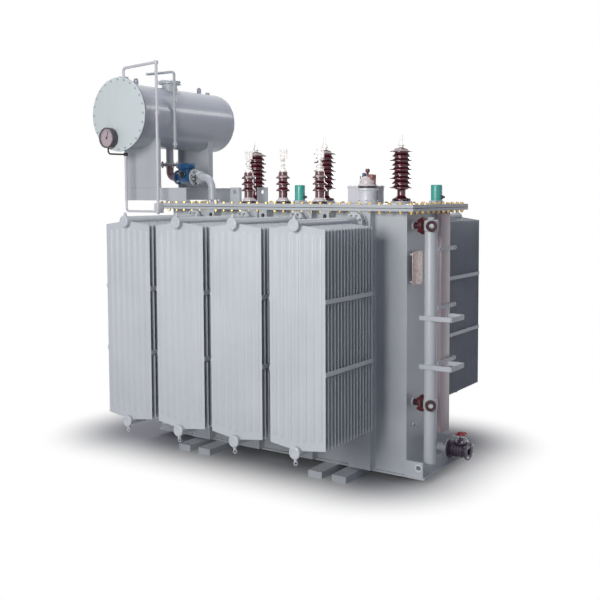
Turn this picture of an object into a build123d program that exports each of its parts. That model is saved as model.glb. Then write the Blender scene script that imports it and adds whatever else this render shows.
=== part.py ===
"""Oil-filled power transformer with panel radiators, bushings and an end conservator.

X runs along the tank, the low-voltage side faces -Y, and Z rises from the floor under the skids.
"""

import os
from math import radians, tan

from build123d import *

# Fit shared by all pieces, in millimetres, and the turn from the front side to the rear, in degrees
fit = 0.3
half_turn = 180.0

# Skid channels, web up, in two pairs across the tank
skid_width = 140.0
skid_height = 58.0
skid_wall = 8.0
skid_overhang = 265.0
skid_pair_inset = 560.0
skid_shift = -45.0
skid_pair_spacing = 244.0
skid_hole_diameter = 26.0
skid_hole_inset = 65.0

# Tank shell, base plate, rim and cover
tank_length = 2620.0
tank_width = 826.0
tank_wall = 10.0
tank_height = 2217.0
base_end_overhang = 190.0
base_side_overhang = 37.0
base_thickness = 15.0
rim_overhang = 120.0
rim_thickness = 25.0
cover_thickness = 30.0

# Box columns that feed the radiators
column_width = 216.0
column_depth = 87.0
column_wall = 6.0

# Radiator banks, one before each box column
bank_pitch = 599.0
banks_per_side = 4
panel_count = 16
panel_pitch = 45.5
panel_width = 520.0
panel_thickness = 8.0
panel_shoulder = 29.0
panel_foot_rise = 40.0
flute_count = 7
flute_depth = 4.0
flute_crest_share = 0.62
flute_foot_share = 0.86
flute_end_inset = 45.0
bank_gap = 126.5
header_diameter = 89.0
header_drop = 93.0
header_rise = 383.0
header_notch_angle = 30.0
header_flange_diameter = 165.0
header_flange_thickness = 16.0
header_cap_diameter = 110.0
header_cap_thickness = 18.0
header_cap_overhang = 42.0
tie_shares = (0.676, 0.348)
tie_height = 36.0
tie_thickness = 5.0

# Butterfly valves between the columns and the headers
valve_length = 76.0
valve_flange_thickness = 16.0
valve_body_diameter = 128.0
valve_stem_diameter = 24.0
valve_stem_height = 105.0

# Conservator drum, its axis along Y over the left end
drum_overhang = 437.0
drum_diameter = 624.0
drum_wall = 6.0
drum_front_overhang = 156.0
drum_rear_overhang = 129.0
drum_flange_diameter = 720.0
drum_flange_thickness = 14.0
drum_cover_thickness = 14.0
drum_dish_depth = 38.0
drum_dish_knuckle = 30.0

# Conservator legs and the channel beams that carry them out over the left end
leg_height = 716.0
leg_width = 440.0
leg_plate = 8.0
leg_lip = 70.0
leg_outset = 11.0
beam_height = 126.0
beam_flange = 53.0
beam_web = 6.0
beam_inset = 180.0
beam_pad_height = 23.0
beam_pad_length = 270.0

# Fittings on the drum
neck_x_offset = 110.0
neck_y = -100.0
neck_diameter = 160.0
neck_flange_diameter = 235.0
neck_flange_thickness = 16.0
neck_rise = 63.0
boss_diameter = 50.0
boss_height = 25.0
lug_height = 62.0
lug_width = 54.0
lug_thickness = 14.0
lug_hole_diameter = 24.0
lug_inset = 201.0
plug_inset = 62.0

# Oil level gauge on the drum's front cover
gauge_x_offset = -95.0
gauge_drop = 229.0
gauge_diameter = 200.0
gauge_depth = 58.0
gauge_bezel = 12.0
gauge_stem_diameter = 120.0
gauge_stem_length = 18.0

# Thin pipes at the drum's front
pipe_diameter = 28.0
pipe_bend_radius = 50.0
breather_rise = 143.0
breather_turn_rise = 178.0
breather_top_rise = 198.0
breather_overhang = 40.0
breather_gap = 47.0
breather_foot_drop = 55.0
conduit_diameter = 22.0
conduit_offset = -35.0
conduit_hook_drop = 385.0
conduit_drop = 28.0
clamp_width = 60.0
clamp_height = 92.0
clamp_drop = 42.0
vent_y = -262.0
vent_rise = 130.0
vent_drop = 310.0
vent_reach = 130.0
vent_arm = 240.0
vent_arm_fall = 45.0

# Relay line from the drum to the cover
line_diameter = 76.0
line_flange_diameter = 200.0
line_flange_thickness = 14.0
drop_rise = 133.0
relay_rise = 260.0
relay_offset = 127.0
relay_length = 216.0
relay_flange_diameter = 150.0
relay_body_diameter = 128.0
relay_box_width = 150.0
relay_box_depth = 120.0
relay_box_height = 62.0
relay_box_lift = 82.0
outlet_flange_diameter = 170.0
outlet_inset = 140.0
outlet_bend_radius = 110.0
elbow_bend_radius = 95.0

# High-voltage bushings
hv_pitch = 845.0
hv_x = 35.0
hv_inset = 143.0
hv_shed_diameter = 220.0
hv_small_shed_diameter = 180.0
hv_core_diameter = 130.0
hv_stem_diameter = 80.0
hv_stem_height = 125.0
hv_foot_diameter = 148.0
hv_foot_height = 40.0
hv_top_diameter = 52.0
hv_first_shed = 145.0
hv_shed_pitch = 82.0
hv_shed_count = 5
hv_shed_lip = 5.0
hv_shed_fall = 14.0
hv_porcelain_height = 515.0
hv_flange_diameter = 200.0
hv_flange_thickness = 22.0
hv_neck_diameter = 36.0
hv_neck_height = 16.0
hv_cap_diameter = 60.0
hv_cap_height = 10.0
hv_cone_top = 600.0
hv_tip_height = 636.0
hv_stud_diameter = 22.0
hv_claw_count = 6
hv_claw_height = 50.0
clamp_claw = 24.0

# Low-voltage bushings
lv_x = -83.0
lv_pitch = 409.0
lv_inset = 163.0
lv_shed_diameter = 132.0
lv_core_diameter = 84.0
lv_foot_diameter = 88.0
lv_foot_height = 40.0
lv_stem_rise = 100.0
lv_first_shed = 120.0
lv_shed_pitch = 58.0
lv_shed_count = 3
lv_shed_lip = 5.0
lv_shed_fall = 16.0
lv_porcelain_height = 290.0
lv_flange_diameter = 140.0
lv_flange_thickness = 20.0
lv_cap_diameter = 70.0
lv_cap_height = 26.0
lv_stem_diameter = 30.0
lv_stem_height = 415.0
lv_paddle_width = 86.0
lv_paddle_height = 84.0
lv_paddle_thickness = 14.0
lv_paddle_hole_diameter = 14.0
lv_claw_count = 4
lv_claw_height = 44.0

# Tap changer and the small covers on the lid
tap_x = 605.0
tap_y = 90.0
tap_box_length = 330.0
tap_box_width = 120.0
tap_box_height = 160.0
tap_turret_offset = 110.0
tap_turret_lead = 150.0
tap_turret_diameter = 160.0
tap_turret_height = 146.0
tap_flange_diameter = 204.0
tap_flange_height = 22.0
tap_head_diameter = 176.0
tap_head_waist = 148.0
tap_head_foot = 16.0
tap_head_shoulder = 82.0
tap_head_height = 110.0
tap_cap_diameter = 84.0
tap_knob_diameter = 40.0
tap_knob_height = 168.0
cap_small_x = 70.0
cap_small_inset = 213.0
cap_small_diameter = 95.0
cap_large_inset = 60.0
cap_large_side_inset = 163.0
cap_large_diameter = 104.0
cap_height = 170.0
cap_flange_diameter = 148.0
cap_flange_height = 16.0
eye_offset = 308.0
eye_spacing = 340.0
eye_y = 0.0
eye_width = 118.0
eye_height = 152.0
eye_thickness = 20.0
eye_hole_diameter = 44.0
eye_hole_drop = 45.0

# Lugs welded to the tank
side_lug_shares = (0.265, 0.3, 0.427)
side_lug_width = 90.0
side_lug_height = 100.0
side_lug_depth = 100.0
side_lug_thickness = 16.0
side_lug_hole_diameter = 40.0
jack_length = 170.0
jack_height = 127.0
jack_thickness = 20.0
jack_inset = 20.0
jack_hole_diameter = 42.0
jack_hole_rise = 77.0
jack_hole_offset = 45.0

# Oil filter pipe and its valves on the right end
filter_gap = 160.0
filter_inset = 123.0
filter_diameter = 108.0
filter_foot_rise = 87.0
filter_valve_shares = (0.945, 0.268)
filter_barrel_diameter = 122.0
filter_barrel_height = 100.0
filter_barrel_land = 56.0
filter_flange_diameter = 145.0
filter_flange_thickness = 24.0
filter_flange_gap = 76.0
filter_foot_diameter = 90.0
filter_foot_thickness = 12.0
filter_neck_diameter = 56.0
filter_cap_diameter = 60.0
filter_cap_height = 22.0

# Flat-bar brackets on the filter pipe
bracket_shares = (0.599, 0.414)
bracket_bar = 40.0
bracket_thickness = 16.0
bracket_overhang = 390.0
bracket_gap = 90.0
bracket_span = 240.0
bracket_return = 150.0

# Nameplate holder and cable duct on the right end
plate_inset = 123.0
plate_width = 180.0
plate_share = 0.784
plate_height = 280.0
plate_thickness = 6.0
plate_standoff = 30.0
plate_post = 20.0
duct_inset = 203.0
duct_width = 180.0
duct_depth = 55.0
duct_wall = 4.0
duct_foot_rise = 227.0
duct_top_drop = 20.0
strap_shares = (0.847, 0.615, 0.394)
strap_length = 340.0
strap_height = 34.0
strap_thickness = 8.0

# Drain valve on the right end
drain_inset = 223.0
drain_rise = 87.0
drain_pipe_diameter = 76.0
drain_pipe_length = 110.0
drain_flange_diameter = 160.0
drain_flange_thickness = 16.0
drain_body_diameter = 136.0
drain_body_length = 180.0
drain_waist_diameter = 104.0
drain_waist_length = 34.0
drain_bonnet_offset = 118.0
drain_bonnet_diameter = 76.0
drain_bonnet_height = 92.0
drain_stem_diameter = 16.0
drain_wheel_diameter = 104.0
drain_wheel_rim = 12.0
drain_wheel_height = 140.0
drain_wheel_hub = 30.0
drain_bolt_circle = 128.0
drain_bolt_count = 4
drain_bolt_diameter = 14.0
drain_bolt_turn = 45.0

# Levels of the tank, worked out from the sizes above
tank_floor = skid_height + base_thickness
rim_base = tank_floor + tank_height
rim_top = rim_base + rim_thickness
cover_top = rim_top + cover_thickness
header_top = rim_base - header_drop
header_bottom = tank_floor + header_rise
panel_top = header_top - panel_shoulder
panel_bottom = header_bottom + panel_foot_rise

# Faces of the tank
wall_face = tank_width / 2
end_face = tank_length / 2
rim_face = wall_face + rim_overhang
column_face = wall_face + column_depth
valve_face = column_face + valve_length
bank_places = [bank_pitch * (k - (banks_per_side - 1) / 2) for k in range(banks_per_side)]

# Levels and places of the conservator and the relay line
beam_base = cover_top + beam_pad_height
beam_top = beam_base + beam_height
drum_x = -(end_face + drum_overhang)
drum_z = beam_top + leg_height
drum_radius = drum_diameter / 2
drum_top = drum_z + drum_radius
drum_front = -(rim_face + drum_front_overhang)
drum_rear = rim_face + drum_rear_overhang
leg_face = wall_face + leg_outset
drum_plane = Plane(origin=(drum_x, 0, drum_z), x_dir=(0, 1, 0), z_dir=(1, 0, 0))
drum_axis = Axis((drum_x, 0, drum_z), (0, 1, 0))
beam_left = drum_x - leg_width / 2
beam_right = beam_inset - end_face
relay_axis_z = cover_top + relay_rise
relay_left = drum_x + relay_offset
relay_right = relay_left + relay_length
drop_foot_z = relay_axis_z + drop_rise
outlet_x = outlet_inset - end_face


def wall_level(share):
    """A level on the tank's wall, as a share of its height above the floor plate."""
    return tank_floor + share * tank_height


def save(piece, name):
    """Label a finished piece and write it as its own STEP file."""
    piece.part.label = name
    export_step(piece.part, f"parts/{name}.step")


def front_plane(x, distance, z):
    """A plane that faces -Y, at a distance before the tank's centre plane."""
    return Plane(origin=(x, -distance, z), x_dir=(1, 0, 0), z_dir=(0, -1, 0))


def end_plane(x, y, z):
    """A plane that faces +X, with its own x axis along +Y."""
    return Plane(origin=(x, y, z), x_dir=(0, 1, 0), z_dir=(1, 0, 0))


def level_plane(x, y, z):
    """A plane that faces up at a given point."""
    return Plane(origin=(x, y, z))


def disc(plane, diameter, length):
    """Extrude one round disc or bar from a plane, inside the current part."""
    with BuildSketch(plane) as outline:
        Circle(diameter / 2)
    extrude(outline.sketch, amount=length)


def plate(plane, width, height, depth, mode=Mode.ADD):
    """Extrude one rectangle from a plane, inside the current part."""
    with BuildSketch(plane) as outline:
        Rectangle(width, height)
    extrude(outline.sketch, amount=depth, mode=mode)


def shed_profile(foot, stem, core, top, sheds, lip, fall):
    """Half section of a shedded porcelain, in radius and height.

    Foot, stem and top are each a radius and two levels. Each shed is a radius and a level: its rim
    is a short lip, and its top slopes to the core.
    """
    foot_radius, base, foot_level = foot
    stem_radius, stem_low, stem_high = stem
    top_radius, top_low, top_high = top
    points = [(0, base), (foot_radius, base), (foot_radius, foot_level)]
    points += [(stem_radius, stem_low), (stem_radius, stem_high)]
    for radius, level in sheds:
        points.append((core, level))
        points.append((radius, level))
        points.append((radius, level + lip))
        points.append((core, level + lip + fall))
    return points + [(top_radius, top_low), (top_radius, top_high), (0, top_high)]


def turned(points):
    """Revolve a half section, in radius and height, about the upright axis at the origin."""
    with BuildSketch(Plane.XZ) as section:
        with BuildLine():
            Polyline(*points, close=True)
        make_face()
    revolve(section.sketch, axis=Axis.Z)


def clear_drum():
    """Cut the drum's round space, with its fit, out of the current part."""
    with BuildSketch(front_plane(drum_x, -drum_rear, drum_z)) as round_space:
        Circle(drum_radius + fit)
    extrude(round_space.sketch, amount=drum_rear - drum_front, mode=Mode.SUBTRACT)


os.makedirs("parts", exist_ok=True)

# Skids: four channels across the tank, closed at their ends
base_width = tank_width + 2 * base_side_overhang
skid_length = base_width + 2 * skid_overhang
skid_pair_centre = end_face - skid_pair_inset
for side, name in ((-1, "skid_channels_left"), (1, "skid_channels_right")):
    with BuildPart() as skids:
        with BuildSketch():
            with Locations((side * skid_pair_centre + skid_shift, 0)):
                with GridLocations(skid_pair_spacing, 0, 2, 1):
                    Rectangle(skid_width, skid_length)
        extrude(amount=skid_height)
        with BuildSketch():
            with Locations((side * skid_pair_centre + skid_shift, 0)):
                with GridLocations(skid_pair_spacing, 0, 2, 1):
                    Rectangle(skid_width - 2 * skid_wall, skid_length - 2 * skid_wall)
        extrude(amount=skid_height - skid_wall, mode=Mode.SUBTRACT)
        with Locations((side * skid_pair_centre + skid_shift, 0, skid_height)):
            with GridLocations(skid_pair_spacing, skid_length - 2 * skid_hole_inset, 2, 2):
                Hole(skid_hole_diameter / 2, depth=skid_wall)
    save(skids, name)

# Base plate
base_length = tank_length + 2 * base_end_overhang
with BuildPart() as base_plate:
    plate(Plane.XY.offset(skid_height), base_length, base_width, base_thickness)
save(base_plate, "base_plate")

# Tank walls: long walls run the full length, the ends stand between them
for side, name in ((-1, "tank_front_wall"), (1, "tank_rear_wall")):
    with BuildPart() as wall:
        wall_plane = level_plane(0, side * (wall_face - tank_wall / 2), tank_floor)
        plate(wall_plane, tank_length, tank_wall, tank_height)
    save(wall, name)

for side, name in ((-1, "tank_left_end"), (1, "tank_right_end")):
    with BuildPart() as end:
        middle = side * (end_face - tank_wall / 2)
        plate(level_plane(middle, 0, tank_floor), tank_wall, tank_width - 2 * tank_wall, tank_height)
    save(end, name)

# Rim round the tank's mouth: two long bars with the end bars between them
rim_width = rim_overhang + tank_wall
with BuildPart() as tank_rim_sides:
    with BuildSketch(Plane.XY.offset(rim_base)):
        with GridLocations(0, tank_width + rim_overhang - tank_wall, 1, 2):
            Rectangle(tank_length + 2 * rim_overhang, rim_width)
    extrude(amount=rim_thickness)
save(tank_rim_sides, "tank_rim_sides")

with BuildPart() as tank_rim_ends:
    with BuildSketch(Plane.XY.offset(rim_base)):
        with GridLocations(tank_length + rim_overhang - tank_wall, 0, 2, 1):
            Rectangle(rim_width, tank_width - 2 * tank_wall)
    extrude(amount=rim_thickness)
save(tank_rim_ends, "tank_rim_ends")

# Cover plate bolted to the rim
cover_length = tank_length + 2 * rim_overhang
cover_width = tank_width + 2 * rim_overhang
with BuildPart() as cover_plate:
    plate(Plane.XY.offset(rim_top), cover_length, cover_width, cover_thickness)
save(cover_plate, "cover_plate")

# Box columns: folded channels with closed ends, open towards the wall
for side, name in ((-1, "front_oil_columns"), (1, "rear_oil_columns")):
    with BuildPart() as columns:
        with BuildSketch(Plane.XY.offset(tank_floor)):
            with Locations(*[(x, side * (wall_face + column_depth / 2)) for x in bank_places]):
                Rectangle(column_width, column_depth)
        extrude(amount=tank_height)
        with BuildSketch(Plane.XY.offset(tank_floor + column_wall)):
            inner_y = side * (wall_face + (column_depth - column_wall) / 2)
            with Locations(*[(x, inner_y) for x in bank_places]):
                Rectangle(column_width - 2 * column_wall, column_depth - column_wall)
        extrude(amount=tank_height - 2 * column_wall, mode=Mode.SUBTRACT)
    save(columns, name)

# Radiator panel outline: sloped shoulders, and a notch at each end that seats the round header
notch = header_diameter / 2 + fit
notch_foot = notch * tan(radians(header_notch_angle))
notch_mouth = 2 * notch_foot
panel_outline = [
    (panel_width / 2, panel_bottom),
    (panel_width / 2, panel_top),
    (notch_mouth, header_top),
    (notch_foot, header_top - notch),
    (-notch_foot, header_top - notch),
    (-notch_mouth, header_top),
    (-panel_width / 2, panel_top),
    (-panel_width / 2, panel_bottom),
    (-notch_mouth, header_bottom),
    (-notch_foot, header_bottom + notch),
    (notch_foot, header_bottom + notch),
    (notch_mouth, header_bottom),
]

with BuildPart() as plain_panel:
    with BuildSketch(front_plane(0, 0, 0)):
        with BuildLine():
            Polyline(*panel_outline, close=True)
        make_face()
    extrude(amount=panel_thickness)

# The outermost panel shows its pressed flutes
flute_pitch = panel_width / flute_count
flute_half_crest = flute_pitch * flute_crest_share / 2
flute_half_foot = flute_pitch * flute_foot_share / 2
with BuildPart() as fluted_panel:
    add(plain_panel.part)
    with BuildSketch(Plane.XY.offset(panel_bottom + flute_end_inset)):
        with Locations((0, -panel_thickness)):
            with GridLocations(flute_pitch, 0, flute_count, 1):
                with BuildLine():
                    Polyline(
                        (-flute_half_foot, 0),
                        (flute_half_foot, 0),
                        (flute_half_crest, -flute_depth),
                        (-flute_half_crest, -flute_depth),
                        close=True,
                    )
                make_face()
    extrude(amount=panel_top - panel_bottom - 2 * flute_end_inset)

# One bank before the front wall: panels, two headers with flanges and caps, and side ties
bank_back = valve_face + header_flange_thickness + bank_gap
panel_face = bank_back + (panel_count - 1) * panel_pitch + panel_thickness
bank_face = panel_face + flute_depth
header_end = bank_face + header_cap_overhang - header_cap_thickness
with BuildPart() as bank:
    with Locations((0, -(panel_face - panel_thickness), 0)):
        add(fluted_panel.part)
    with Locations(*[(0, -(bank_back + k * panel_pitch), 0) for k in range(panel_count - 1)]):
        add(plain_panel.part)
    for header_z in (header_top, header_bottom):
        disc(front_plane(0, valve_face, header_z), header_flange_diameter, header_flange_thickness)
        disc(front_plane(0, valve_face, header_z), header_diameter, header_end - valve_face)
        disc(front_plane(0, header_end, header_z), header_cap_diameter, header_cap_thickness)
    for tie_share in tie_shares:
        tie_z = panel_bottom + tie_share * (panel_top - panel_bottom)
        for edge in (-1, 1):
            tie_x = edge * (panel_width + tie_thickness) / 2
            plate(front_plane(tie_x, bank_back, tie_z), tie_thickness, tie_height, panel_face - bank_back)

for turn, side_name in ((0, "front"), (half_turn, "rear")):
    for number, x in enumerate(bank_places, start=1):
        with BuildPart() as radiator:
            with Locations(Location((x, 0, 0), (0, 0, turn))):
                add(bank.part)
        save(radiator, f"{side_name}_radiator_{number}")

# Butterfly valves: two flanges, a round body and a stem that points up
with BuildPart() as valve_pair:
    for header_z in (header_top, header_bottom):
        disc(front_plane(0, column_face, header_z), header_flange_diameter, valve_flange_thickness)
        disc(front_plane(0, column_face, header_z), valve_body_diameter, valve_length)
        outer_flange = front_plane(0, valve_face - valve_flange_thickness, header_z)
        disc(outer_flange, header_flange_diameter, valve_flange_thickness)
        with BuildSketch(level_plane(0, -(column_face + valve_length / 2), header_z)):
            Circle(valve_stem_diameter / 2)
        extrude(amount=-valve_stem_height)

for turn, name in ((0, "front_radiator_valves"), (half_turn, "rear_radiator_valves")):
    with BuildPart() as valves:
        with Locations(*[Location((x, 0, 0), (0, 0, turn)) for x in bank_places]):
            add(valve_pair.part)
    save(valves, name)

# Conservator shell with its front flange, top bosses and lifting lugs
flange_radius = drum_flange_diameter / 2
shell_front = drum_front + drum_flange_thickness
plug_y = drum_rear - plug_inset
lug_y = drum_rear - lug_inset
with BuildPart() as conservator_shell:
    with BuildSketch(drum_plane):
        with BuildLine():
            Polyline(
                (drum_front, drum_radius - drum_wall),
                (drum_front, flange_radius),
                (shell_front, flange_radius),
                (shell_front, drum_radius),
                (drum_rear, drum_radius),
                (drum_rear, drum_radius - drum_wall),
                close=True,
            )
        make_face()
    revolve(axis=drum_axis)
    for boss_y in (shell_front + boss_diameter, plug_y):
        with BuildSketch(level_plane(drum_x, boss_y, drum_top + boss_height)):
            Circle(boss_diameter / 2)
        extrude(amount=-(boss_height + drum_wall / 2))
    for side in (-1, 1):
        with BuildSketch(end_plane(drum_x - lug_thickness / 2, side * lug_y, drum_top)):
            with Locations((0, (lug_height - drum_wall) / 2)):
                Rectangle(lug_width, lug_height + drum_wall)
            with Locations((0, lug_height - lug_hole_diameter)):
                Circle(lug_hole_diameter / 2, mode=Mode.SUBTRACT)
        extrude(amount=lug_thickness)
save(conservator_shell, "conservator_shell")

# Bolted front cover of the drum
with BuildPart() as conservator_front_cover:
    disc(front_plane(drum_x, -drum_front, drum_z), drum_flange_diameter, drum_cover_thickness)
save(conservator_front_cover, "conservator_front_cover")

# Dished rear end
dish_rim = drum_radius - drum_dish_knuckle
with BuildPart() as conservator_rear_end:
    with BuildSketch(drum_plane):
        with BuildLine():
            Line((drum_rear, 0), (drum_rear, drum_radius))
            RadiusArc((drum_rear, drum_radius), (drum_rear + drum_dish_knuckle, dish_rim), drum_dish_knuckle)
            Line((drum_rear + drum_dish_knuckle, dish_rim), (drum_rear + drum_dish_depth, 0))
            Line((drum_rear + drum_dish_depth, 0), (drum_rear, 0))
        make_face()
    revolve(axis=drum_axis)
save(conservator_rear_end, "conservator_rear_end")

# Filler neck on the drum's right shoulder, with its blank flange
neck_x = drum_x + neck_x_offset
neck_flange_base = drum_top + neck_rise - neck_flange_thickness
with BuildPart() as filler_neck:
    disc(level_plane(neck_x, neck_y, drum_z), neck_diameter, neck_flange_base - drum_z)
    disc(level_plane(neck_x, neck_y, neck_flange_base), neck_flange_diameter, neck_flange_thickness)
    clear_drum()
save(filler_neck, "filler_neck")

# Conservator legs: folded plates whose tops are cut to the drum, standing on the beams
for side, name in ((-1, "conservator_front_leg"), (1, "conservator_rear_leg")):
    with BuildPart() as leg:
        with BuildSketch(Plane.XY.offset(beam_top)):
            with Locations((drum_x, side * (leg_face - leg_plate / 2))):
                Rectangle(leg_width, leg_plate)
            lip_x = (leg_width - leg_plate) / 2
            with Locations(*[(drum_x + edge * lip_x, side * (leg_face - leg_lip / 2)) for edge in (-1, 1)]):
                Rectangle(leg_plate, leg_lip)
        extrude(amount=drum_z - beam_top)
        clear_drum()
    save(leg, name)

# Channel beams on pads, carried out past the cover's left end
beam_length = beam_right - beam_left
pad_x = beam_right - beam_pad_length / 2
with BuildPart() as conservator_beams:
    for side in (-1, 1):
        beam_y = side * (leg_face - beam_flange / 2)
        with BuildSketch(end_plane(beam_left, beam_y, beam_base + beam_height / 2)):
            Rectangle(beam_flange, beam_height)
            with Locations((-side * beam_web, 0)):
                Rectangle(beam_flange, beam_height - 2 * beam_web, mode=Mode.SUBTRACT)
        extrude(amount=beam_length)
        plate(level_plane(pad_x, beam_y, cover_top), beam_pad_length, beam_flange, beam_pad_height)
save(conservator_beams, "conservator_beams")

# Oil level gauge: stem, round case and a raised bezel
gauge_x = drum_x + gauge_x_offset
gauge_z = drum_z - gauge_drop
gauge_seat = drum_cover_thickness - drum_front
with BuildPart() as oil_level_gauge:
    disc(front_plane(gauge_x, gauge_seat, gauge_z), gauge_stem_diameter, gauge_stem_length)
    case_face = gauge_seat + gauge_stem_length
    disc(front_plane(gauge_x, case_face, gauge_z), gauge_diameter, gauge_depth)
    with BuildSketch(front_plane(gauge_x, case_face + gauge_depth, gauge_z)):
        Circle(gauge_diameter / 2 - gauge_bezel)
    extrude(amount=-gauge_bezel, mode=Mode.SUBTRACT)
save(oil_level_gauge, "oil_level_gauge")

# Breather pipe: up from the drum, across, and down past the cover's corner to its clamp
breather_start = (drum_x, shell_front + boss_diameter, drum_top + boss_height)
breather_x = -(end_face + breather_overhang)
breather_y = -(rim_face + breather_gap)
breather_foot_z = rim_base - breather_foot_drop
breather_length = drum_top + breather_top_rise - breather_foot_z
clamp_depth = pipe_diameter - breather_y - rim_face
clamp_y = -(rim_face + clamp_depth / 2)
with BuildPart() as breather_pipe:
    with BuildLine():
        run = FilletPolyline(
            breather_start,
            (breather_start[0], breather_start[1], drum_top + breather_rise),
            (breather_x, breather_y, drum_top + breather_turn_rise),
            radius=pipe_bend_radius / 2,
        )
    with BuildSketch(level_plane(*breather_start)):
        Circle(pipe_diameter / 2)
    sweep(path=run)
    disc(level_plane(breather_x, breather_y, breather_foot_z), pipe_diameter, breather_length)
    # Clamp block on the rim's edge that holds the pipe and the conduit's end
    plate(level_plane(breather_x, clamp_y, rim_base - clamp_drop), clamp_width, clamp_depth, clamp_height)
save(breather_pipe, "breather_pipe")

# Conduit from the gauge: a hook under its case, a long drop and a run to the clamp
gauge_foot = gauge_z - gauge_diameter / 2
conduit_y = -(case_face + gauge_depth / 2)
conduit_x = drum_x + conduit_offset
conduit_hook_z = drum_z - conduit_hook_drop
conduit_foot_z = rim_base - conduit_drop
with BuildPart() as gauge_conduit:
    with BuildLine():
        drop = FilletPolyline(
            (gauge_x, conduit_y, gauge_foot - fit),
            (gauge_x, conduit_y, conduit_hook_z),
            (conduit_x, breather_y, conduit_hook_z),
            (conduit_x, breather_y, conduit_foot_z),
            (breather_x - clamp_width / 2, breather_y, conduit_foot_z),
            radius=conduit_diameter,
        )
    with BuildSketch(Plane(origin=drop @ 0, z_dir=drop % 0)):
        Circle(conduit_diameter / 2)
    sweep(path=drop)
save(gauge_conduit, "gauge_conduit")

# Vent pipe beside the drum, with its arm along the top
vent_x = drum_x + drum_radius + fit + pipe_diameter / 2
vent_foot_z = drum_z - vent_drop
vent_top_z = drum_top + vent_rise
with BuildPart() as vent_pipe:
    with BuildLine():
        vent = FilletPolyline(
            (vent_x, vent_y, vent_foot_z),
            (vent_x, vent_y, vent_top_z),
            (vent_x - vent_reach, vent_y, vent_top_z),
            (vent_x - vent_reach, vent_y - vent_arm, vent_top_z - vent_arm_fall),
            radius=pipe_bend_radius,
        )
    with BuildSketch(level_plane(vent_x, vent_y, vent_foot_z)):
        Circle(pipe_diameter / 2)
    sweep(path=vent)
save(vent_pipe, "vent_pipe")

# Drop pipe under the drum, with its flange
with BuildPart() as relay_drop_pipe:
    disc(level_plane(drum_x, 0, drop_foot_z), line_diameter, drum_z - drop_foot_z)
    disc(level_plane(drum_x, 0, drop_foot_z), line_flange_diameter, line_flange_thickness)
    clear_drum()
save(relay_drop_pipe, "relay_drop_pipe")

# Elbow from the drop pipe to the relay
with BuildPart() as relay_elbow:
    with BuildLine():
        bend = FilletPolyline(
            (drum_x, 0, drop_foot_z),
            (drum_x, 0, relay_axis_z),
            (relay_left, 0, relay_axis_z),
            radius=elbow_bend_radius,
        )
    with BuildSketch(level_plane(drum_x, 0, drop_foot_z)):
        Circle(line_diameter / 2)
    sweep(path=bend)
    elbow_top = level_plane(drum_x, 0, drop_foot_z - line_flange_thickness)
    disc(elbow_top, line_flange_diameter, line_flange_thickness)
    elbow_end = end_plane(relay_left - line_flange_thickness, 0, relay_axis_z)
    disc(elbow_end, relay_flange_diameter, line_flange_thickness)
save(relay_elbow, "relay_elbow")

# Gas relay: flanged round body with a terminal box on top
relay_middle = (relay_left + relay_right) / 2
with BuildPart() as gas_relay:
    disc(end_plane(relay_left, 0, relay_axis_z), relay_flange_diameter, line_flange_thickness)
    disc(end_plane(relay_left, 0, relay_axis_z), relay_body_diameter, relay_right - relay_left)
    relay_end = end_plane(relay_right - line_flange_thickness, 0, relay_axis_z)
    disc(relay_end, relay_flange_diameter, line_flange_thickness)
    relay_height = relay_box_lift + relay_box_height
    plate(level_plane(relay_middle, 0, relay_axis_z), relay_box_width, relay_box_depth, relay_height)
save(gas_relay, "gas_relay")

# Outlet pipe from the relay down to the cover
with BuildPart() as relay_outlet_pipe:
    with BuildLine():
        outlet = FilletPolyline(
            (relay_right, 0, relay_axis_z),
            (outlet_x, 0, relay_axis_z),
            (outlet_x, 0, cover_top),
            radius=outlet_bend_radius,
        )
    with BuildSketch(end_plane(relay_right, 0, relay_axis_z)):
        Circle(line_diameter / 2)
    sweep(path=outlet)
    disc(end_plane(relay_right, 0, relay_axis_z), outlet_flange_diameter, line_flange_thickness)
    disc(level_plane(outlet_x, 0, cover_top), outlet_flange_diameter, line_flange_thickness)
save(relay_outlet_pipe, "relay_outlet_pipe")

# High-voltage bushings: porcelain with long and short sheds in turn
hv_y = wall_face - hv_inset
hv_places = [(hv_x + k * hv_pitch, hv_y, cover_top) for k in (-1, 0, 1)]
hv_sheds = [(hv_shed_diameter / 2, hv_first_shed + k * hv_shed_pitch) for k in range(hv_shed_count)]
hv_small_shed = hv_first_shed + hv_shed_pitch / 2
hv_small_radius = hv_small_shed_diameter / 2
hv_sheds += [(hv_small_radius, hv_small_shed + k * hv_shed_pitch) for k in range(hv_shed_count - 1)]
hv_sheds.sort(key=lambda shed: shed[1])
with BuildPart() as hv_porcelain:
    hv_profile = shed_profile(
        (hv_foot_diameter / 2, hv_flange_thickness, hv_foot_height),
        (hv_stem_diameter / 2, hv_foot_height + hv_foot_diameter / 2 - hv_stem_diameter / 2, hv_stem_height),
        hv_core_diameter / 2,
        (hv_top_diameter / 2, hv_porcelain_height - hv_shed_lip, hv_porcelain_height),
        hv_sheds,
        hv_shed_lip,
        hv_shed_fall,
    )
    turned(hv_profile)

with BuildPart() as hv_porcelains:
    with Locations(*hv_places):
        add(hv_porcelain.part)
save(hv_porcelains, "hv_porcelains")

with BuildPart() as hv_clamps:
    with Locations(*hv_places):
        Cylinder(hv_flange_diameter / 2, hv_flange_thickness, align=(Align.CENTER, Align.CENTER, Align.MIN))
        with PolarLocations((hv_foot_diameter + clamp_claw) / 2 + fit, hv_claw_count):
            Box(clamp_claw, clamp_claw, hv_claw_height, align=(Align.CENTER, Align.CENTER, Align.MIN))
save(hv_clamps, "hv_clamps")

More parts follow.
